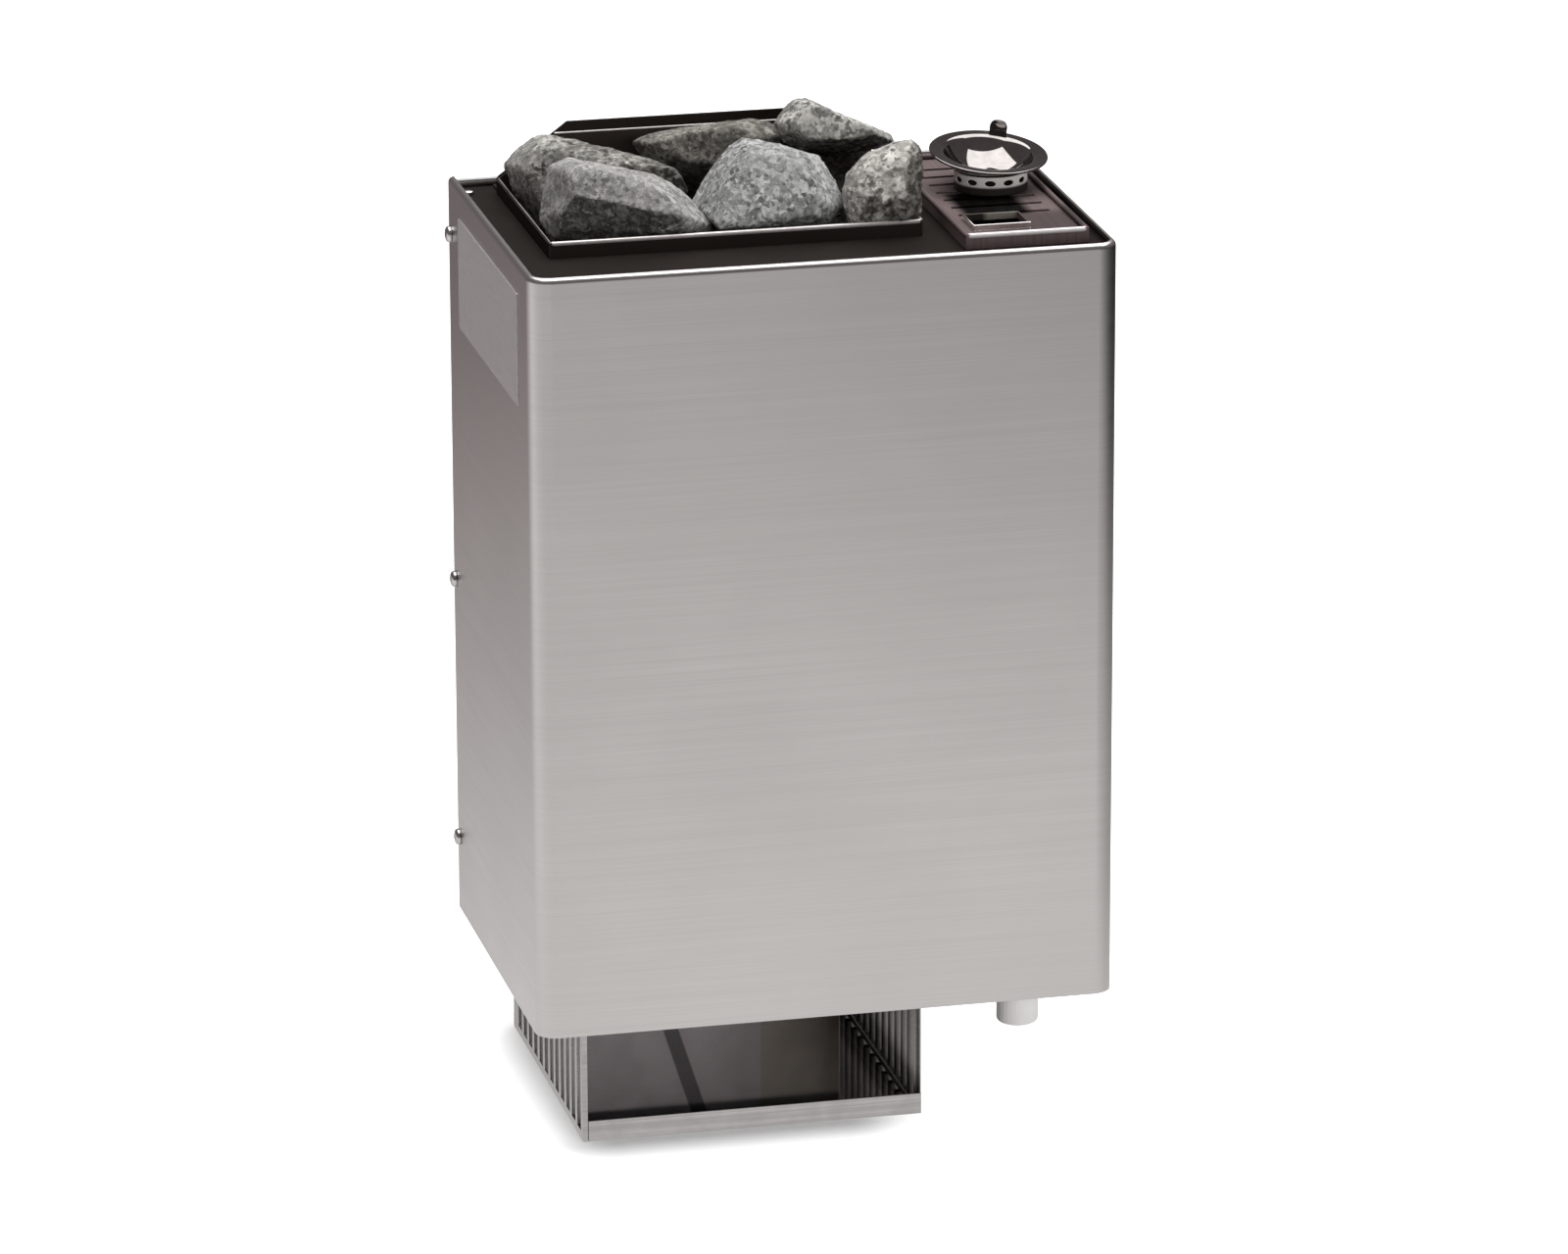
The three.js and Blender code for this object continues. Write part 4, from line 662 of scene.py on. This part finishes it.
def buildDish():
    low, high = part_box("dish_collar")
    lift = math.sqrt(dish["curve"] ** 2 - dish["seat"] ** 2) * mm
    middle = Vector(((low.x + high.x) / 2, (low.y + high.y) / 2, high.z + lift))
    tilt = Matrix.Rotation(math.radians(dish["tilt"]), 3, "X")
    askew = tilt @ Matrix.Rotation(math.radians(dish["lean"]), 3, "Y")
    bowl = spunPiece(dishProfile(), Vector((0, 0, 0)), dish["steps"])
    for bm, name, stands in ((bowl, "aroma_bowl", True), (buildGrip(), "dish_grip", False)):
        bmesh.ops.rotate(bm, cent=(0, 0, 0), matrix=askew, verts=bm.verts)
        bmesh.ops.translate(bm, vec=middle, verts=bm.verts)
        finishPiece(bm, name, [finish["polished_sheet"]], "aroma_dish", stands=stands, smoothAngle=50)


buildDish()

# drain cap: a ribbed screw cap
cap = {"ribs": 30, "ribDepth": 0.14, "edge": 2.6, "wall": 3.6, "floor": 2}


def buildCap():
    low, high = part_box("drain_cap")
    axis = Vector(((low.x + high.x) / 2, (low.y + high.y) / 2, low.z))
    radius = (high.x - low.x) / 2 / mm
    height = (high.z - low.z) / mm
    edge = cap["edge"]
    foot = arc(radius - edge, edge, edge, -90, 0, 5)
    brim = arc(radius - 0.6, height - 0.6, 0.6, 0, 90, 3)
    bore = radius - cap["wall"]
    profile = [(0, 0), *foot, (radius, edge + 1.5), (radius, height - 5), (radius, height - 4), *brim,
               (bore, height), (bore, cap["floor"]), (0, cap["floor"])]
    bm = spunPiece(profile, axis, cap["ribs"] * 4)
    for v in bm.verts:
        offset = v.co - axis
        across = offset.xy.length / mm
        if across > radius - 0.05 and edge < offset.z / mm < height - 4.5:
            turn = math.atan2(offset.y, offset.x)
            shrink = 1 - cap["ribDepth"] * (0.5 - 0.5 * math.cos(cap["ribs"] * turn)) / radius
            v.co.x = axis.x + offset.x * shrink
            v.co.y = axis.y + offset.y * shrink
    return finishPiece(bm, "drain_screw_cap", [finish["cap_plastic"]], "drain_cap")


buildCap()
print("dish and cap turned")

# pan-head screws with a cross recess
screw = {"steps": 32, "recess": 0.45, "recessDepth": 0.45, "hub": 0.16}


def buildScrew(node, outward):
    low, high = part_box(node)
    flat = [i for i in range(3) if abs(outward[i]) < 0.5]
    radius = (high[flat[0]] - low[flat[0]]) / 2 / mm
    height = {True: 3.2, False: 2.2}[radius > 4]
    dome = [(radius, 0), (radius, height * 0.3), (radius * 0.97, height * 0.5), (radius * 0.88, height * 0.72),
            (radius * 0.7, height * 0.88), (radius * screw["recess"], height * 0.98), (radius * screw["hub"], height),
            (0, height)]
    bm = spunPiece([(0, -1), (radius * 0.4, -1), (radius * 0.4, 0), *dome], Vector((0, 0, 0)), screw["steps"])
    ring = []
    for face in bm.faces:
        middle = face.calc_center_median() / mm
        across = middle.xy.length
        turn = math.degrees(math.atan2(middle.y, middle.x)) % 90
        inRing = across < radius * screw["recess"] and middle.z > height * 0.9
        if inRing and (across < radius * screw["hub"] or min(turn, 90 - turn) < 360 / screw["steps"]):
            ring.append(face)
    pushed = bmesh.ops.extrude_face_region(bm, geom=ring)
    bmesh.ops.delete(bm, geom=ring, context="FACES_ONLY")
    moved = [v for v in pushed["geom"] if isinstance(v, bmesh.types.BMVert)]
    bmesh.ops.translate(bm, vec=(0, 0, -height * screw["recessDepth"] * mm), verts=moved)
    bmesh.ops.recalc_face_normals(bm, faces=bm.faces)
    turn = Vector((0, 0, 1)).rotation_difference(outward).to_matrix()
    bmesh.ops.rotate(bm, cent=(0, 0, 0), matrix=turn, verts=bm.verts)
    middle = (low + high) / 2
    tip = Vector([high[i] if outward[i] > 0.5 else low[i] if outward[i] < -0.5 else middle[i] for i in range(3)])
    bmesh.ops.translate(bm, vec=tip - outward * height * mm, verts=bm.verts)
    return finishPiece(bm, node + "_head", [finish["screw_steel"]], node, smoothAngle=35)


for node in sorted(n for n in frame["nodes"] if "_screw_" in n):
    side = Vector((0, 0, 1)) if node.startswith("top") else Vector((-1 if "left" in node else 1, 0, 0))
    buildScrew(node, side)
print("screws driven")

# round beads along the upper edges of the stone container, the steam cover, its filling opening and the rear panel
bead = {"container": 1.4, "side": 0.9, "cover": 1.5, "coverFront": 1.6, "crest": 0.6, "seam": 0.5, "fill": 0.7, "hem": 2.1, "corner": 2.5, "cornerSteps": 5,
        "containerRim": 542.5, "rightRun": 0.3, "seamDrop": 7}


def buildBead(name, node, points, radius, look):
    curve = bpy.data.curves.new(name, "CURVE")
    curve.dimensions = "3D"
    curve.bevel_depth = radius * mm
    curve.bevel_resolution = 4
    curve.use_fill_caps = True
    line = curve.splines.new("POLY")
    line.points.add(len(points) - 1)
    for spot, place in zip(line.points, points):
        spot.co = (*place, 1)
    wire = bpy.data.objects.new(name, curve)
    bm = bmesh.new()
    bm.from_mesh(bpy.data.meshes.new_from_object(wire))
    bpy.data.objects.remove(wire)
    bmesh.ops.remove_doubles(bm, verts=bm.verts, dist=1e-6)
    bmesh.ops.recalc_face_normals(bm, faces=bm.faces)
    return finishPiece(bm, name, [look], node, stands=False, smoothAngle=60)


# a level loop just inside a node's box, with round corners
def rimLoop(node, inset, height):
    low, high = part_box(node)
    round = bead["corner"]
    left, right = low.x / mm + inset + round, high.x / mm - inset - round
    front, back = low.y / mm + inset + round, high.y / mm - inset - round
    corners = ((right, back, 0), (left, back, 90), (left, front, 180), (right, front, 270))
    flat = [point for x, y, start in corners
            for point in ((x + round * math.cos(math.radians(start + 90 * i / bead["cornerSteps"])),
                           y + round * math.sin(math.radians(start + 90 * i / bead["cornerSteps"])))
                          for i in range(bead["cornerSteps"] + 1))]
    return [Vector((x, y, height)) * mm for x, y in flat]


def buildBeads():
    rim = bead["containerRim"]
    loop = rimLoop("stone_container", bead["container"] * 0.6, rim - bead["container"] * 0.6)
    steps = bead["cornerSteps"] + 1
    rightEnd = loop[-1].lerp(loop[0], bead["rightRun"])
    leftTurn, rightTurn = 2 * steps + steps // 2, 3 * steps + steps // 2
    corner = loop[leftTurn]
    buildBead("container_rim", "stone_container", loop[leftTurn:] + [rightEnd], bead["container"], wornAndHighlightRim)
    buildBead("container_side", "stone_container", loop[2 * steps - 1:leftTurn + 1], bead["side"], sideRim)
    seam = [corner, corner - Vector((0, 0, bead["seamDrop"] * mm))]
    buildBead("container_seam", "stone_container", seam, bead["seam"], wornAndHighlightRim)
    loop = rimLoop("steam_cover", bead["cover"] * 0.7, coverHigh.z / mm - bead["cover"] * 0.8)
    buildBead("cover_rim", "steam_cover", loop[leftTurn:rightTurn], bead["coverFront"], highlightRim)
    around = loop[rightTurn - 1:] + loop[:leftTurn + 1]
    buildBead("cover_edge", "steam_cover", around, bead["cover"], finish["dark_sheet"])
    rear = fillCorner + Vector((0, cover["rimDepth"] * mm, 0))
    right = fillCorner + Vector((cover["rimWidth"] * mm, 0, 0))
    # the bead along the opening's left and front edges is in the painted highlight's bright steel
    buildBead("filling_rim", "steam_cover", [rear, fillCorner, right], bead["fill"], rimSteel)
    low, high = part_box("stone_container")
    crest = [v.co.x for v in container.data.vertices if v.co.z > high.z - 0.5 * mm]
    edge = [Vector((x, high.y - mm * 0.5, high.z)) for x in (min(crest), max(crest))]
    buildBead("container_crest", "stone_container", edge, bead["crest"], wornAndHighlightRim)
    low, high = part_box("rear_panel")
    inset = bead["hem"] * mm
    hem = [Vector((x, high.y - inset, high.z - inset)) for x in (low.x + inset, high.x - inset)]
    buildBead("rear_hem", "rear_panel", hem, bead["hem"], sideRim)


buildBeads()

# blank plate on the casing's left side
plate = {"front": -91, "back": 84.5, "foot": 454, "top": 521.5, "thick": 0.8, "cornerRadius": 1.5, "edge": 0.3}


def buildBlankPlate():
    low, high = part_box("outer_casing")
    bm = bmesh.new()
    bmesh.ops.create_cube(bm, size=1)
    size = Vector((plate["thick"], plate["back"] - plate["front"], plate["top"] - plate["foot"])) * mm
    bmesh.ops.scale(bm, vec=size, verts=bm.verts)
    middle = Vector((low.x - plate["thick"] * mm / 2, (plate["front"] + plate["back"]) / 2 * mm,
                     (plate["foot"] + plate["top"]) / 2 * mm))
    bmesh.ops.translate(bm, vec=middle, verts=bm.verts)
    corners = [e for e in bm.edges if abs(e.verts[0].co.x - e.verts[1].co.x) > mm * 0.1]
    bevelEdges(bm, corners, plate["cornerRadius"], 4)
    outer = min(bm.faces, key=lambda f: f.calc_center_median().x)
    bevelEdges(bm, outer.edges[:], plate["edge"], 2)
    return evenShading(finishPiece(bm, "blank_plate", [plateFoil], "outer_casing", stands=False, smoothAngle=20))


buildBlankPlate()
print("beads and plate fitted")

# pieces that stay as their solids get their finish
for node, part in frame["nodes"].items():
    part.data.materials.clear()
    part.data.materials.append(finish[slotOf[node]])


# floor: white to the eye, with a narrow contact shadow before the duct, partly cast and partly painted by dimming the
# glow there; brushed metal sees it fade away
floor = {"size": 40, "albedo": 0.78, "shadeCentre": (-0.054, 0.002, 0), "shadeHalf": (0.07, 0.1035, 1),
         "shadeSoft": 0.056, "glow": (1.0, 0.22), "glossAlong": (-0.35, -0.94, 0), "glossReach": (-1.5, 2.0),
         "fadeNear": (0.32, 0.62, 1, 0.7), "fadeFar": (1.0, 1.8, 1, 0.05),
         # place along the fade, brightness, share of green and blue
         "gloss": ((0, 0.2, 0.86), (0.086, 0.32, 0.87), (0.22, 0.5, 0.93), (0.371, 0.76, 0.97), (0.457, 0.93, 0.98),
                   (0.54, 0.99, 0.98), (0.691, 0.9, 0.98), (0.843, 0.78, 0.98), (1, 0.67, 0.98))}


def buildFloor():
    bm = bmesh.new()
    bmesh.ops.create_grid(bm, x_segments=1, y_segments=1, size=floor["size"] / 2)
    mesh = bpy.data.meshes.new("studioFloor")
    bm.to_mesh(mesh)
    bm.free()
    material, tree, shader, place = startMaterial("studioFloor")
    tree.nodes.remove(shader)
    away = addNode(tree, "VectorMath", {0: place, 1: floor["glossAlong"]}, operation="DOT_PRODUCT")
    ramp = addNode(tree, "ValToRGB", {"Fac": remap(tree, away.outputs["Value"], *floor["glossReach"])})
    while len(ramp.color_ramp.elements) < len(floor["gloss"]):
        ramp.color_ramp.elements.new(0.5)
    for element, (position, grey, tint) in zip(ramp.color_ramp.elements, floor["gloss"]):
        element.position = position
        element.color = (grey, grey * tint, grey * tint, 1)
    across = addNode(tree, "SeparateXYZ", {0: place}).outputs["X"]
    sides = addNode(tree, "Math", {0: remap(tree, across, *floor["fadeNear"]), 1: remap(tree, across, *floor["fadeFar"])},
                    operation="MULTIPLY")
    paint = addNode(tree, "BsdfDiffuse", {"Color": (floor["albedo"],) * 3 + (1,)})
    near = fillGroup(tree, patchGroup, {"Vector": place, "Centre": floor["shadeCentre"], "Half": floor["shadeHalf"],
                                        "Soft": floor["shadeSoft"]})
    shine = remap(tree, near.outputs["Mask"], 0, 1, *floor["glow"])
    glow = addNode(tree, "Emission", {"Color": (1, 1, 1, 1), "Strength": shine})
    seen = addNode(tree, "AddShader", {0: paint.outputs[0], 1: glow.outputs[0]})
    mirrored = addNode(tree, "Emission", {"Color": ramp.outputs[0], "Strength": sides.outputs[0]})
    rays = addNode(tree, "LightPath")
    toEye = addNode(tree, "MixShader", {0: rays.outputs["Is Camera Ray"], 1: paint.outputs[0], 2: seen.outputs[0]})
    toGloss = addNode(tree, "MixShader", {0: rays.outputs["Is Glossy Ray"], 1: toEye.outputs[0], 2: mirrored.outputs[0]})
    tree.links.new(toGloss.outputs[0], tree.nodes["Material Output"].inputs[0])
    mesh.materials.append(material)
    ground = bpy.data.objects.new("studio_floor", mesh)
    scene.collection.objects.link(ground)


buildFloor()

# studio: a big overhead box, a low front fill and a dim room that the eye sees as white
studio = {"boxPlace": (0.4, 0.7, 2.6), "boxSize": 3.0, "boxPower": 85, "fillPlace": (0.8, -3.1, 0.8),
          "fillSize": 1.4, "fillPower": 38, "room": (0.16, 0.145, 0.145)}


def addSoftbox(name, place, size, power, target, mirrored=True):
    light = bpy.data.lights.new(name, "AREA")
    light.shape = "SQUARE"
    light.size = size
    light.energy = power
    box = bpy.data.objects.new(name, light)
    box.location = place
    box.rotation_euler = (Vector(target) - Vector(place)).to_track_quat("-Z", "Y").to_euler()
    box.visible_camera = False
    box.visible_glossy = mirrored
    scene.collection.objects.link(box)


addSoftbox("overhead_box", studio["boxPlace"], studio["boxSize"], studio["boxPower"], (0.4, 0.7, 0))
addSoftbox("front_fill", studio["fillPlace"], studio["fillSize"], studio["fillPower"], (0, 0, 0.35), mirrored=False)


def buildRoom():
    room = bpy.data.worlds.new("studioRoom")
    scene.world = room
    room.use_nodes = True
    tree = room.node_tree
    white = addNode(tree, "Background", {"Color": (1, 1, 1, 1), "Strength": 1})
    dim = addNode(tree, "Background", {"Color": (*studio["room"], 1), "Strength": 1})
    rays = addNode(tree, "LightPath")
    mixed = addNode(tree, "MixShader", {0: rays.outputs["Is Camera Ray"], 1: dim.outputs[0], 2: white.outputs[0]})
    tree.links.new(mixed.outputs[0], tree.nodes["World Output"].inputs[0])


buildRoom()

# camera at the photograph's place, with a long lens
view = {"place": (-1.11435, -4.81642, 1.83759), "azimuth": -13.063, "elevation": 17.497, "roll": -0.196,
        "lens": 198.79, "sensor": 36}


def buildCamera():
    a, e, r = (math.radians(view[k]) for k in ("azimuth", "elevation", "roll"))
    back = Vector((math.sin(a) * math.cos(e), -math.cos(a) * math.cos(e), math.sin(e)))
    right = (-back).cross(Vector((0, 0, 1))).normalized()
    up = right.cross(-back)
    across = right * math.cos(r) + up * math.sin(r)
    upright = up * math.cos(r) - right * math.sin(r)
    lens = bpy.data.cameras.new("photoCamera")
    lens.lens = view["lens"]
    lens.sensor_width = view["sensor"]
    eye = bpy.data.objects.new("photo_camera", lens)
    eye.matrix_world = Matrix.Translation(view["place"]) @ Matrix((across, upright, back)).transposed().to_4x4()
    scene.collection.objects.link(eye)
    scene.camera = eye


buildCamera()
print("studio set")
